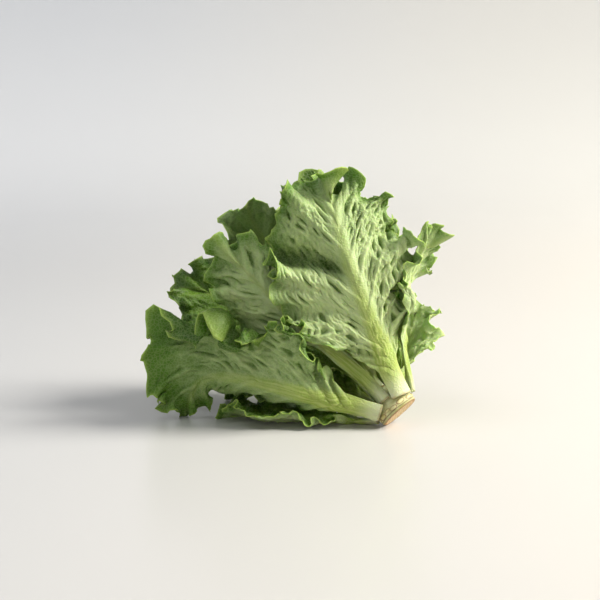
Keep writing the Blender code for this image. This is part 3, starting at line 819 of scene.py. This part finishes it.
# %% [markdown]
# ## Ruffles and teeth
# The margin of a leaf grows longer than the blade behind it, so it has to fold: large waves carry smaller
# ones, and those smaller ones still. Each step here is about 0.4 times as long as the one before it, and
# dies out nearer to the margin. The margin itself is cut into pointed teeth with round bays between them.

# %% Finer waves towards the margin
# Each wave: its length, its height, and how far from the margin it dies out.
RUFFLES = ((0.0270, 0.0085, 0.0170), (0.0110, 0.0031, 0.0070), (0.0050, 0.0011, 0.0030))
TEETH = ((0.0300, 0.0095, 0.0200), (0.0115, 0.0044, 0.0065), (0.0050, 0.0017, 0.0030))


def frill(leaf, m, run, from_margin):
    """How far the margin's finer waves stand out and run sideways, and how far its teeth reach."""
    outwards, sideways, teeth = np.zeros_like(run), np.zeros_like(run), np.zeros_like(run)
    strength = leaf.ruffle / 0.010 * np.interp(m, (-0.1, 0.1), leaf.frills)
    for k, (wave, height, depth) in enumerate(RUFFLES):
        turns = run / wave
        wander = 1.1 * np.sin(turns * 1.9 + 5 * leaf.phase + k) + 0.7 * np.sin(turns * 0.83 + leaf.phase)
        angle = 2 * math.pi * run / wave + wander + 2 * leaf.phase
        swell = height * strength * (0.75 + 0.45 * np.sin(turns * 1.31 + 3 * leaf.phase + k))
        fade = np.exp(-from_margin / depth)
        outwards += swell * fade * np.sin(angle)
        sideways -= 0.42 * swell * fade**1.5 * np.sin(2 * angle)
    for k, (wave, height, depth) in enumerate(TEETH):
        turns = run / wave
        wander = 0.9 * np.sin(turns * 1.57 + 4 * leaf.phase + k) + 0.6 * np.sin(turns * 0.61)
        tooth = 1 - np.abs(np.sin(math.pi * run / wave + wander)) ** 0.75
        swell = height * strength**0.5 * (0.7 + 0.5 * np.sin(turns * 0.93 + 2 * leaf.phase + k))
        teeth += swell * (tooth - 0.36) * np.exp(-from_margin / depth)
    return outwards, sideways, teeth


# %% [markdown]
# ## Ruffles that give way
# Leaves lie close together, so a full ruffle would cut through its neighbour. Where two blades face each
# other, each may use its own half of the gap between them. A point that would go further keeps only a share
# of its waves, and that share is spread around it so that the blade flattens softly, as pressed leaves do.

# %% The share of its waves that a point keeps
NEAR = 0.016
SPARE = 0.0018


def height_over(other, place):
    """How far each point lies over another leaf's outer side, or nan where it doesn't face that leaf."""
    spot, facing, distance, _ = nearest(other.tree, place, NEAR)
    height = np.sum((place - spot) * facing, axis=1)
    return np.where(np.abs(height) > 0.7 * distance, height, np.nan)


def share_kept(name, base, place):
    """For a leaf's net without and with its waves: the share of the waves that each point can keep."""
    start, end = base[::2, ::2].reshape(-1, 3), place[::2, ::2].reshape(-1, 3)
    keep = np.ones(len(start))
    for other in placed:
        low, high = other.place.min(axis=0) - NEAR, other.place.max(axis=0) + NEAR
        within = np.flatnonzero(np.all((start > low) & (start < high), axis=1))
        if other.name == name or within.size == 0:
            continue
        before, after = height_over(other, start[within]), height_over(other, end[within])
        after = after * np.sign(before)
        before = np.abs(before)
        room = np.minimum(before, (before + SPARE) / 2)
        share = np.clip((before - room) / np.maximum(before - after, 1e-6), 0, 1)
        keep[within] = np.where(after < room, np.minimum(keep[within], share), keep[within])
    keep = keep.reshape(base[::2, ::2].shape[:2])
    for turn in range(3):
        wide = np.pad(keep, 1, mode="edge")
        around = [wide[i:i + keep.shape[0], j:j + keep.shape[1]] for i in range(3) for j in range(3)]
        keep = np.min(around, axis=0) if turn == 0 else np.mean(around, axis=0)
    rows, columns = np.arange(base.shape[1]), np.arange(base.shape[0])
    keep = np.stack([np.interp(columns, columns[::2], line) for line in keep.T], axis=1)
    return np.stack([np.interp(rows, rows[::2], line) for line in keep])


# %% [markdown]
# ## The finished blade
# The waves and the relief are laid on in turn, each along the directions of the form below it. Then the
# surface becomes a closed blade, thick at the rib and thin at the margin, because light passes into it and
# out of the other side. Masks for its veins, pits, stalk and margin go with its points to the material.
# Painted pictures would do the same, but they would have to be unwrapped and kept beside the mesh.

# %% One fine leaf
EDGE_THICKNESS = 0.0005
THINNING = 0.004
EDGE_GLOW_WIDTH = 0.0009
MARGIN_BAND = 0.016


def fine_leaf(leaf, seed):
    """Vertices and faces of the finished leaf, with a mask for each thing that its colour depends on."""
    columns, rows = leaf.fine
    r_line = np.linspace(0, 1, rows + 1)
    m, r, number = grid(columns, r_line)
    base, _, rib = leaf_surface(leaf, m, r)
    base = base + fine_shift(leaf, m[:, 0], r_line)
    length = rib_line(leaf)[4]
    x, y, y_edge, waves = flat_leaf(leaf, m, r, length)
    x, y = x * length, y * length
    across, onward = np.diff(x, axis=1, prepend=0), np.diff(y, axis=1, prepend=y[:, :1])
    spread = np.cumsum(np.hypot(across, onward), axis=1)
    from_margin = spread[:, -1:] - spread
    run = m * waves * WAVE_LENGTH
    blade = ease((y_edge - leaf.neck) / 0.22)
    along, outward, normal = net_directions(base, number)
    outwards, sideways, teeth = frill(leaf, m, run, from_margin)
    place = base + (normal * outwards[..., None] + along * sideways[..., None]) * blade[..., None]
    place = place + outward * (teeth * blade)[..., None]
    raised, vein, pit, crease_shade = relief(leaf, length, m, x, y, from_margin, seed)
    _, _, normal = net_directions(place, number)
    raised = leaf.blisters * raised * ease((y_edge - leaf.neck + 0.02) / 0.25)
    place = place + normal * raised[..., None]
    place = base + (place - base) * share_kept(leaf.name, base, place)[..., None]
    place[..., 2] = np.maximum(place[..., 2], RING_FLOOR[leaf.ring] / 2 + BLADE_THICKNESS / 2)
    _, _, normal = net_directions(place, number)
    half = BLADE_THICKNESS / 2 - (BLADE_THICKNESS - EDGE_THICKNESS) / 2 * np.exp(-from_margin / THINNING)
    slim = foot_width(leaf) * (0.95 - 0.68 * y / length)
    crest = np.exp(-((x / slim) ** 4))
    rib = rib * (0.55 + 0.45 * crest)
    outer = place + normal * (half + rib)[..., None]
    inner = place - normal * half[..., None]
    masks = {
        "vein": vein * blade,
        "pit": pit * blade,
        "crease_shade": crease_shade,
        "stalk": crest * (1 - 0.6 * ease(y / length)),
        # edge: a painted highlight, the bright line where light comes through the thin margin.
        "edge": np.exp(-from_margin / EDGE_GLOW_WIDTH) * blade,
        "margin": np.exp(-from_margin / MARGIN_BAND) * blade,
        "along": y / length,
        "across": x * by_half(m, (-1.0, 1.0)),
        "pale": np.full(x.shape, leaf.pale),
    }
    return outer, inner, number, masks


# %% Join the two faces at the rim
def closed_blade(outer, inner, number, masks):
    """One closed mesh from a leaf's two faces, with the masks of each vertex."""
    count = number.max() + 1
    vertices = np.concatenate([by_vertex(outer, number), by_vertex(inner, number)])
    vertices[:, 2] = np.maximum(vertices[:, 2], 0.0)
    a, b, c, d = number[:-1, :-1], number[1:, :-1], number[1:, 1:], number[:-1, 1:]
    skin = np.stack([a, b, c, d], axis=-1).reshape(-1, 4)
    starts = np.concatenate([number[:-1, -1], number[0, :-1], number[-1, 1:]])
    ends = np.concatenate([number[1:, -1], number[0, 1:], number[-1, :-1]])
    edge = np.stack([starts, ends, ends + count, starts + count], axis=-1)
    faces = np.concatenate([skin, skin[:, ::-1] + count, edge])
    values = {"side": np.repeat([0.0, 1.0], count)}
    for title, mask in masks.items():
        values[title] = np.tile(by_vertex(mask, number), 2)
    return vertices - MIDDLE, faces, values


# %% Make a piece of the head
def new_piece(name, vertices, faces, masks, material, node):
    """A mesh with its masks and material that stands for one node of the frame."""
    mesh = bpy.data.meshes.new(name)
    mesh.from_pydata(vertices.tolist(), [], [list(face) for face in faces])
    for title, values in masks.items():
        attribute = mesh.attributes.new(title, "FLOAT", "POINT")
        attribute.data.foreach_set("value", np.asarray(values, np.float32))
    mesh.materials.append(material)
    mesh.shade_smooth()
    piece = bpy.data.objects.new(name, mesh)
    scene.collection.objects.link(piece)
    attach(piece, "root")
    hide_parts(node)
    return piece


# %% [markdown]
# ## Painting with expressions
# A material is a web of nodes, and wiring it by hand hides what it says. The class below wraps a socket, so
# that sums, differences and products in Python become Math nodes, and colours are mixed by a mask.

# %% A socket that can be reckoned with
class Signal:
    """A socket of a material. Arithmetic on signals adds Math nodes; without a socket it is the start."""

    def __init__(self, tree, socket=None):
        self.tree = tree
        self.socket = socket

    def feed(self, node, values):
        """Gives sockets of a node their numbers or signals."""
        for key, value in values.items():
            if isinstance(value, Signal):
                self.tree.links.new(value.socket, node.inputs[key])
            else:
                node.inputs[key].default_value = value

    def node(self, kind, settings=None, values=None, output=0):
        """Adds a node: its settings first, then the numbers or signals of its sockets."""
        added = self.tree.nodes.new(kind)
        for title, setting in (settings or {}).items():
            setattr(added, title, setting)
        self.feed(added, values or {})
        return Signal(self.tree, added.outputs[output])

    def masks(self, *titles):
        """The masks of these titles that go with the points of a piece."""
        kind = "ShaderNodeAttribute"
        return {title: self.node(kind, {"attribute_name": title}, output=2) for title in titles}

    def noise(self, scale, detail):
        """Noise from 0 to 1, read at the places that this signal gives."""
        return self.node("ShaderNodeTexNoise", {}, {"Vector": self, "Scale": scale, "Detail": detail})

    def bump(self, distance):
        """A normal that this signal tilts, as a height in shares of a distance."""
        return self.node("ShaderNodeBump", {}, {"Strength": 0.5, "Distance": distance, "Height": self})

    def maths(self, operation, first, second=0.0):
        return self.node("ShaderNodeMath", {"operation": operation}, {0: first, 1: second})

    def __add__(self, other):
        return self.maths("ADD", self, other)

    __radd__ = __add__

    def __sub__(self, other):
        return self.maths("SUBTRACT", self, other)

    def __rsub__(self, other):
        return self.maths("SUBTRACT", other, self)

    def __mul__(self, other):
        return self.maths("MULTIPLY", self, other)

    __rmul__ = __mul__

    def eased(self, low, high):
        """Goes smoothly from 0 at low to 1 at high."""
        settings = {"interpolation_type": "SMOOTHSTEP"}
        return self.node("ShaderNodeMapRange", settings, {0: self, 1: low, 2: high, 3: 0.0, 4: 1.0})

    def between(self, first, second):
        """A colour from the first to the second, by this signal."""
        settings = {"data_type": "RGBA", "clamp_factor": True}
        return self.node("ShaderNodeMix", settings, {0: self, 6: first, 7: second}, output=2)


def colour(red, green, blue):
    """A colour given as a screen shows it, from 0 to 255, as the light values that shaders use."""
    shares = [channel / 255 for channel in (red, green, blue)]
    light = [s / 12.92 if s <= 0.04045 else ((s + 0.055) / 1.055) ** 2.4 for s in shares]
    return (*light, 1.0)


# %% [markdown]
# ## The leaf's finish
# The outer side of a leaf is pale and waxy, with its veins palest, in their own colour with a painted
# sheen, and its pits greener and darkened with painted shade; its inner side is a deep fresh green. Stalk
# and foot turn nearly white, the margin is the greenest, and its very edge is a painted highlight: a bright
# line where light comes through. The deep crease gets painted shade, three whole leaves are painted lighter
# and one darker, for the light that falls on them. Thin tissue lets light in and out again, which is
# subsurface scattering. A see-through material would show the leaves behind as sharply as glass does, and
# tissue never does.

# %% The leaf material
def new_material(name):
    """A material, its shader node, a signal to start its paint from, and the places of its points."""
    material = bpy.data.materials.new(name)
    material.use_nodes = True
    start = Signal(material.node_tree)
    where = start.node("ShaderNodeTexCoord", output=3)
    return material, material.node_tree.nodes["Principled BSDF"], start, where


def leaf_material(name, tones):
    material, shader, start, where = new_material(name)
    mask = start.masks(
        "side", "vein", "pit", "crease_shade", "stalk", "edge", "margin", "along", "across", "pale")
    cloud, blotch, grain = where.noise(38.0, 4.0), where.noise(150.0, 3.0), where.noise(620.0, 3.0)
    lengthwise = start.node("ShaderNodeCombineXYZ", {}, {0: mask["across"] * 620.0, 1: mask["along"] * 7.0})
    streak = lengthwise.noise(1.0, 3.0)
    fine = start.node(
        "ShaderNodeTexVoronoi", {"feature": "DISTANCE_TO_EDGE"}, {"Vector": where, "Scale": 330.0})
    web = 1 - fine.eased(0.0, 0.16)
    ripe_and_painted_light = mask["margin"].eased(0.25, 0.95) * 0.7 + mask["along"].eased(0.55, 1.0) * 0.45
    # The pale mask paints light on whole leaves that the lamps leave too dark, and shade where it is below
    # 0.
    ripe_and_painted_light = ripe_and_painted_light + cloud * 0.6 + blotch * 0.5 - 0.56 - mask["pale"] * 0.8
    outer = ripe_and_painted_light.between(tones["outer_pale"], tones["outer_green"])
    # Pits: greener tissue, darkened further with painted shade.
    outer = (mask["pit"].eased(0.10, 0.85) * 0.7).between(outer, tones["pit_green_and_shade"])
    # Veins: their own paler colour, with a painted sheen of the waxy ridges.
    outer = (mask["vein"] * (1 - mask["margin"] * 0.7) * 0.22).between(outer, tones["outer_vein_and_sheen"])
    # Painted shade: the deep crease of the blade is darkened where the fold above overhangs it.
    outer = (mask["crease_shade"] * 0.85).between(outer, tones["crease_shade"])
    inner = (ripe_and_painted_light * 0.8 + 0.25).between(tones["inner_pale"], tones["inner_green"])
    inner = (mask["vein"] * 0.22).between(inner, tones["inner_vein"])
    # Painted light: leaves with a pale mask get a paler inner side.
    inner = mask["pale"].between(inner, tones["outer_pale"])
    blade = mask["side"].between(outer, inner)
    # A fine net of pale ridges, in the veins' colour with its painted sheen.
    blade = (web * 0.16).between(blade, tones["outer_vein_and_sheen"])
    low = 1 - mask["along"].eased(0.10, 0.40)
    pale = (mask["stalk"] * 0.95 + low * 0.6).eased(0.10, 1.0)
    stalk = streak.eased(0.35, 0.65).between(tones["stalk_dark"], tones["stalk"])
    blade = (pale * 0.92).between(blade, stalk)
    foot = 1 - (mask["along"] + streak * 0.06).eased(0.03, 0.16)
    blade = foot.between(blade, tones["foot"])
    end = 1 - (mask["along"] + blotch * 0.012).eased(0.006, 0.018)
    blade = (end * 0.6).between(blade, tones["end"])
    # Painted highlight: a bright line along the very edge, where light comes through.
    blade = (mask["edge"] * 0.7).between(blade, tones["edge"])
    height = grain * 0.45 + web * 0.6 + streak * mask["stalk"] * 0.5
    start.feed(shader, {
        "Base Color": blade,
        "Roughness": 0.42 + 0.16 * cloud + 0.10 * mask["pit"],
        "Normal": height.bump(0.0009),
        "Subsurface Weight": 0.35,
        "Subsurface Radius": (0.55, 1.0, 0.18),
        "Subsurface Scale": 0.0019,
        "Specular IOR Level": 0.35,
    })
    return material


LEAF_TONES = {
    "outer_pale": colour(174, 192, 132),
    "outer_green": colour(76, 116, 12),
    # the pits: greener tissue with painted shade
    "pit_green_and_shade": colour(70, 108, 10),
    # the painted shade of the deep crease
    "crease_shade": colour(52, 84, 2),
    # the veins' pale colour with a painted sheen
    "outer_vein_and_sheen": colour(196, 210, 150),
    "inner_pale": colour(98, 134, 20),
    "inner_green": colour(58, 94, 2),
    "inner_vein": colour(146, 174, 66),
    "stalk_dark": colour(134, 156, 56),
    "stalk": colour(170, 184, 98),
    "foot": colour(204, 211, 166),
    "end": colour(150, 118, 62),
    # the painted highlight along the very edge
    "edge": colour(180, 204, 100),
}
HEART_TONES = {
    **LEAF_TONES,
    "outer_pale": colour(214, 222, 150),
    "outer_green": colour(166, 190, 80),
    "inner_pale": colour(206, 216, 120),
    "inner_green": colour(160, 188, 66),
}
leaf_finish = leaf_material("leaf", LEAF_TONES)
heart_finish = leaf_material("heart_leaf", HEART_TONES)
print("nodes in the leaf material:", len(leaf_finish.node_tree.nodes))

# %% Grow the leaves
for seed, leaf in enumerate(LEAVES):
    vertices, faces, masks = closed_blade(*fine_leaf(leaf, seed))
    heart = leaf.ring == 3
    finish = heart_finish if heart else leaf_finish
    piece = new_piece("fine_" + leaf.name, vertices, faces, masks, finish, leaf.name)
    print(piece.name, 2 * len(faces), "triangles")


# %% [markdown]
# ## The stump
# One stroke of a knife cut the stem, so its face is flat, tan where it has dried and browned round its rim.
# Leaves that were pulled off left scars above it: low lenses with brown outlines, and one dark line round
# the stem. A turned profile gives the round shape, and scars and knife marks are laid on it as relief.

# %% The scars and other marks of the stump
STUMP_SIDES = 180
FACE_RINGS = 16
SIDE_RINGS = 74
SCAR_RISE = 0.00045
LUMP = 0.00014
SMALL_LUMP = 0.0001
COLLAR_HEIGHT = 0.0027
COLLAR_SWAY = 0.0004
COLLAR_WIDTH = 0.0004
COLLAR_DEPTH = 0.0005
KNIFE_MARK = 0.00012
KNIFE_MARK_GAP = 0.0004
PITH_RADIUS = 0.0055
PITH_DEPTH = 0.0004
RIM_WIDTH = 0.0011
SCARS = (  # degrees round the stump, height, half width, half height
    (-95, 0.0052, 0.0036, 0.0018), (-64, 0.0047, 0.0042, 0.0015), (-30, 0.0058, 0.0040, 0.0017),
    (-2, 0.0049, 0.0034, 0.0016), (18, 0.0066, 0.0030, 0.0013), (42, 0.0050, 0.0044, 0.0019),
    (72, 0.0055, 0.0032, 0.0020), (104, 0.0050, 0.0040, 0.0016), (140, 0.0057, 0.0038, 0.0018),
    (176, 0.0049, 0.0042, 0.0016), (214, 0.0056, 0.0036, 0.0018),
)


def stump_marks(angle, height):
    """How far the stump's side stands out, and masks of its scars and of their outlines."""
    raised, scar, ring = np.zeros_like(angle), np.zeros_like(angle), np.zeros_like(angle)
    for turn, middle, half_width, half_height in SCARS:
        aside = (angle - math.radians(turn) + math.pi) % (2 * math.pi) - math.pi
        away = np.hypot(aside * STUMP_RADIUS / half_width, (height - middle) / half_height)
        away = away + 0.12 * np.sin(7 * angle + turn)
        raised += SCAR_RISE * (1 - ease((away - 0.55) / 0.5))
        scar = np.maximum(scar, 1 - ease((away - 0.6) / 0.3))
        ring = np.maximum(ring, hill((away - 1.02) / 0.17))
    return raised, scar, ring


# %% The finished stump
def fine_stump():
    """Vertices and faces of the finished stump, with a mask for each thing that its colour depends on."""
    top = STUMP_PROFILE[-1][0]
    cut_radius = STUMP_PROFILE[0][1] * STUMP_RADIUS
    heights = np.linspace(0, top, SIDE_RINGS + 1)[1:]
    face_radii = cut_radius * np.linspace(0, 1, FACE_RINGS + 1)[1:]
    radius = np.concatenate([face_radii, stump_radius(heights)])
    height = np.concatenate([np.zeros(FACE_RINGS), heights])
    angle = np.linspace(0, 2 * math.pi, STUMP_SIDES, endpoint=False)
    height, turn = np.meshgrid(height, angle, indexing="ij")
    radius = np.repeat(radius[:, None], STUMP_SIDES, axis=1)
    raised, scar, ring = stump_marks(turn, height)
    on_face = height == 0
    side = np.where(on_face, 0.0, ease(height / 0.002))
    lumps = LUMP * np.sin(9 * turn + height / 0.0013) + SMALL_LUMP * np.sin(17 * turn - height / 0.0009)
    collar = hill((height - COLLAR_HEIGHT - COLLAR_SWAY * np.sin(3 * turn + 1)) / COLLAR_WIDTH) * side
    radius = radius + (raised + lumps - COLLAR_DEPTH * collar) * side
    wander = 2 * np.sin(radius * np.sin(turn) / 0.004)
    marks = KNIFE_MARK * (1 + np.sin(radius * np.cos(turn) / KNIFE_MARK_GAP + wander))
    pith = hill(radius / PITH_RADIUS)
    edge = ease((STUMP_RADIUS - radius) / 0.004)
    inwards = np.where(on_face, (marks + PITH_DEPTH * pith) * edge, 0.0)
    out = HEAD_FRONT * np.cos(turn)[..., None] + HEAD_SIDE * np.sin(turn)[..., None]
    place = CUT_CENTRE + HEAD_AXIS * (height + inwards)[..., None] + out * radius[..., None]
    ends = np.array([CUT_CENTRE + HEAD_AXIS * PITH_DEPTH, CUT_CENTRE + HEAD_AXIS * top])
    vertices = np.concatenate([place.reshape(-1, 3), ends])
    vertices[:, 2] = np.maximum(vertices[:, 2], 0.0)
    number = np.arange(place[..., 0].size).reshape(place.shape[:2])
    beside = np.roll(number, -1, axis=1)
    quads = np.stack([number[:-1], number[1:], beside[1:], beside[:-1]], axis=-1).reshape(-1, 4)
    centre = number.size
    caps = [(centre, a, b) for a, b in zip(number[0], beside[0])]
    caps += [(a, centre + 1, b) for a, b in zip(number[-1], beside[-1])]
    corner = np.where(on_face, cut_radius - radius, height)
    masks = {
        "cut": on_face.astype(float),
        "rim": hill(corner / RIM_WIDTH),
        "collar": collar,
        "scar": scar * side,
        "ring": ring * side,
        "pith": pith * on_face,
        "height": height / top,
    }
    at_ends = {"cut": (1, 0), "pith": (1, 0), "height": (0, 1)}
    for title, mask in masks.items():
        masks[title] = np.concatenate([mask.reshape(-1), at_ends.get(title, (0, 0))])
    return vertices - MIDDLE, quads.tolist() + caps, masks


# %% The stump's finish
def stump_material():
    material, shader, start, where = new_material("stump")
    mask = start.masks("cut", "rim", "collar", "scar", "ring", "pith", "height")
    cloud, grain = where.noise(170.0, 4.0), where.noise(900.0, 4.0)
    strokes = start.node(
        "ShaderNodeTexWave", {}, {"Vector": where, "Scale": 120.0, "Distortion": 4.0, "Detail": 3.0})
    side = (cloud * 1.6 - 0.5 + mask["height"]).between(colour(168, 164, 92), colour(222, 224, 176))
    side = (mask["scar"] * 0.6).between(side, colour(208, 196, 138))
    side = (mask["ring"] * (0.3 + cloud * 1.1)).between(side, colour(124, 74, 30))
    side = (mask["collar"] * (0.3 + cloud)).between(side, colour(84, 58, 22))
    cut = (cloud * 0.9 + strokes * 0.5 - 0.3).between(colour(190, 156, 104), colour(224, 198, 156))
    cut = (mask["pith"] * 0.5).between(cut, colour(216, 206, 160))
    paint = mask["cut"].between(side, cut)
    paint = (mask["rim"] * (0.4 + cloud * 0.9)).between(paint, colour(122, 74, 38))
    height = grain * 0.6 + cloud * 0.6 + strokes * mask["cut"] * 0.5
    start.feed(shader, {
        "Base Color": paint,
        "Roughness": 0.42 + 0.3 * grain,
        "Normal": height.bump(0.0004),
        "Subsurface Weight": 0.25,
        "Subsurface Radius": (1.0, 0.8, 0.35),
        "Subsurface Scale": 0.0012,
    })
    return material


vertices, faces, masks = fine_stump()
piece = new_piece("fine_stump", vertices, faces, masks, stump_material(), "stump")
print(piece.name, 2 * len(faces), "triangles")

# %% [markdown]
# ## The table and the light
# The head lies in a pale studio: one seamless sheet that curves up all round it. Its colours are painted
# light:
# grey on the left and warmer on the right, towards the warm lamp, and brighter far behind the head than on
# the floor round it and high up. A large soft lamp stands high at the right, a weak one hangs above the
# left, and faint light comes from everywhere. A single small lamp would cut hard shadows that the
# photograph lacks.

# %% The seamless sheet
FLOOR_RADIUS = 1.6
BOWL_RADIUS = 1.3
BOWL_SIDES = 96
BOWL_RINGS = 12
FLOOR_RINGS = (0.15, 0.4, 0.7, 1.0)


def make_stage(material):
    """A round floor that curves up into a low wall, as one turned profile."""
    profile = [(FLOOR_RADIUS * share, 0.0) for share in FLOOR_RINGS]
    for k in range(1, BOWL_RINGS + 1):
        angle = math.pi / 2 * k / BOWL_RINGS
        profile.append((FLOOR_RADIUS + BOWL_RADIUS * math.sin(angle), BOWL_RADIUS * (1 - math.cos(angle))))
    vertices, faces = [(0.0, 0.0, 0.0)], []
    for radius, height in profile:
        for k in range(BOWL_SIDES):
            angle = 2 * math.pi * k / BOWL_SIDES
            vertices.append((radius * math.cos(angle), radius * math.sin(angle), height))
    for k in range(BOWL_SIDES):
        beside = (k + 1) % BOWL_SIDES
        faces.append((0, 1 + k, 1 + beside))
        for ring in range(len(profile) - 1):
            low, high = 1 + ring * BOWL_SIDES, 1 + (ring + 1) * BOWL_SIDES
            faces.append((low + k, high + k, high + beside, low + beside))
    mesh = bpy.data.meshes.new("stage")
    mesh.from_pydata(vertices, [], faces)
    mesh.materials.append(material)
    mesh.shade_smooth()
    stage = bpy.data.objects.new("stage", mesh)
    scene.collection.objects.link(stage)


# %% The sheet's finish
def stage_material():
    material, shader, start, where = new_material("stage")
    across = start.node("ShaderNodeSeparateXYZ", {}, {0: where})
    warm = across.eased(-0.7, 0.7)
    away = start.node("ShaderNodeVectorMath", {"operation": "LENGTH"}, {0: where}, output=1)
    high = start.node("ShaderNodeSeparateXYZ", {}, {0: where}, output=2)
    # Painted light: the sheet is warmer towards the lamp on the right, darker on the floor round the head,
    # brighter far behind it and darker again high up.
    near = warm.between(colour(190, 191, 193), colour(208, 203, 194))
    far = warm.between(colour(218, 220, 224), colour(222, 221, 216))
    upper = warm.between(colour(194, 197, 203), colour(206, 205, 202))
    paint = away.eased(0.7, 2.2).between(near, high.eased(0.0, 0.6).between(far, upper))
    start.feed(shader, {"Base Color": paint, "Roughness": 0.28, "Specular IOR Level": 0.25})
    return material


make_stage(stage_material())
print("stage ready")

# %% The lamps
HEAD_CENTRE = np.array([0.0, 0.05, 0.11])
LAMPS = (  # name, place, size, watts, tint
    ("key_lamp", (2.6, -0.15, 2.2), 1.6, 215.0, (1.0, 0.97, 0.91)),
    ("top_lamp", (-0.6, -0.3, 1.8), 1.2, 9.0, (0.96, 0.98, 1.0)),
)
SKY_TINT = (0.95, 0.97, 1.0, 1.0)
SKY_STRENGTH = 0.22


def lamp(name, place, size, watts, tint):
    light = bpy.data.lights.new(name, "AREA")
    light.shape = "DISK"
    light.size = size
    light.energy = watts
    light.color = tint
    made = bpy.data.objects.new(name, light)
    scene.collection.objects.link(made)
    aim(made, np.array(place), HEAD_CENTRE)
    made.visible_camera = False


for each in LAMPS:
    lamp(*each)
world = bpy.data.worlds.new("world")
world.use_nodes = True
sky = world.node_tree.nodes["Background"]
sky.inputs["Color"].default_value = SKY_TINT
sky.inputs["Strength"].default_value = SKY_STRENGTH
scene.world = world
scene.view_settings.view_transform = "Standard"
print("lamps:", len(LAMPS))
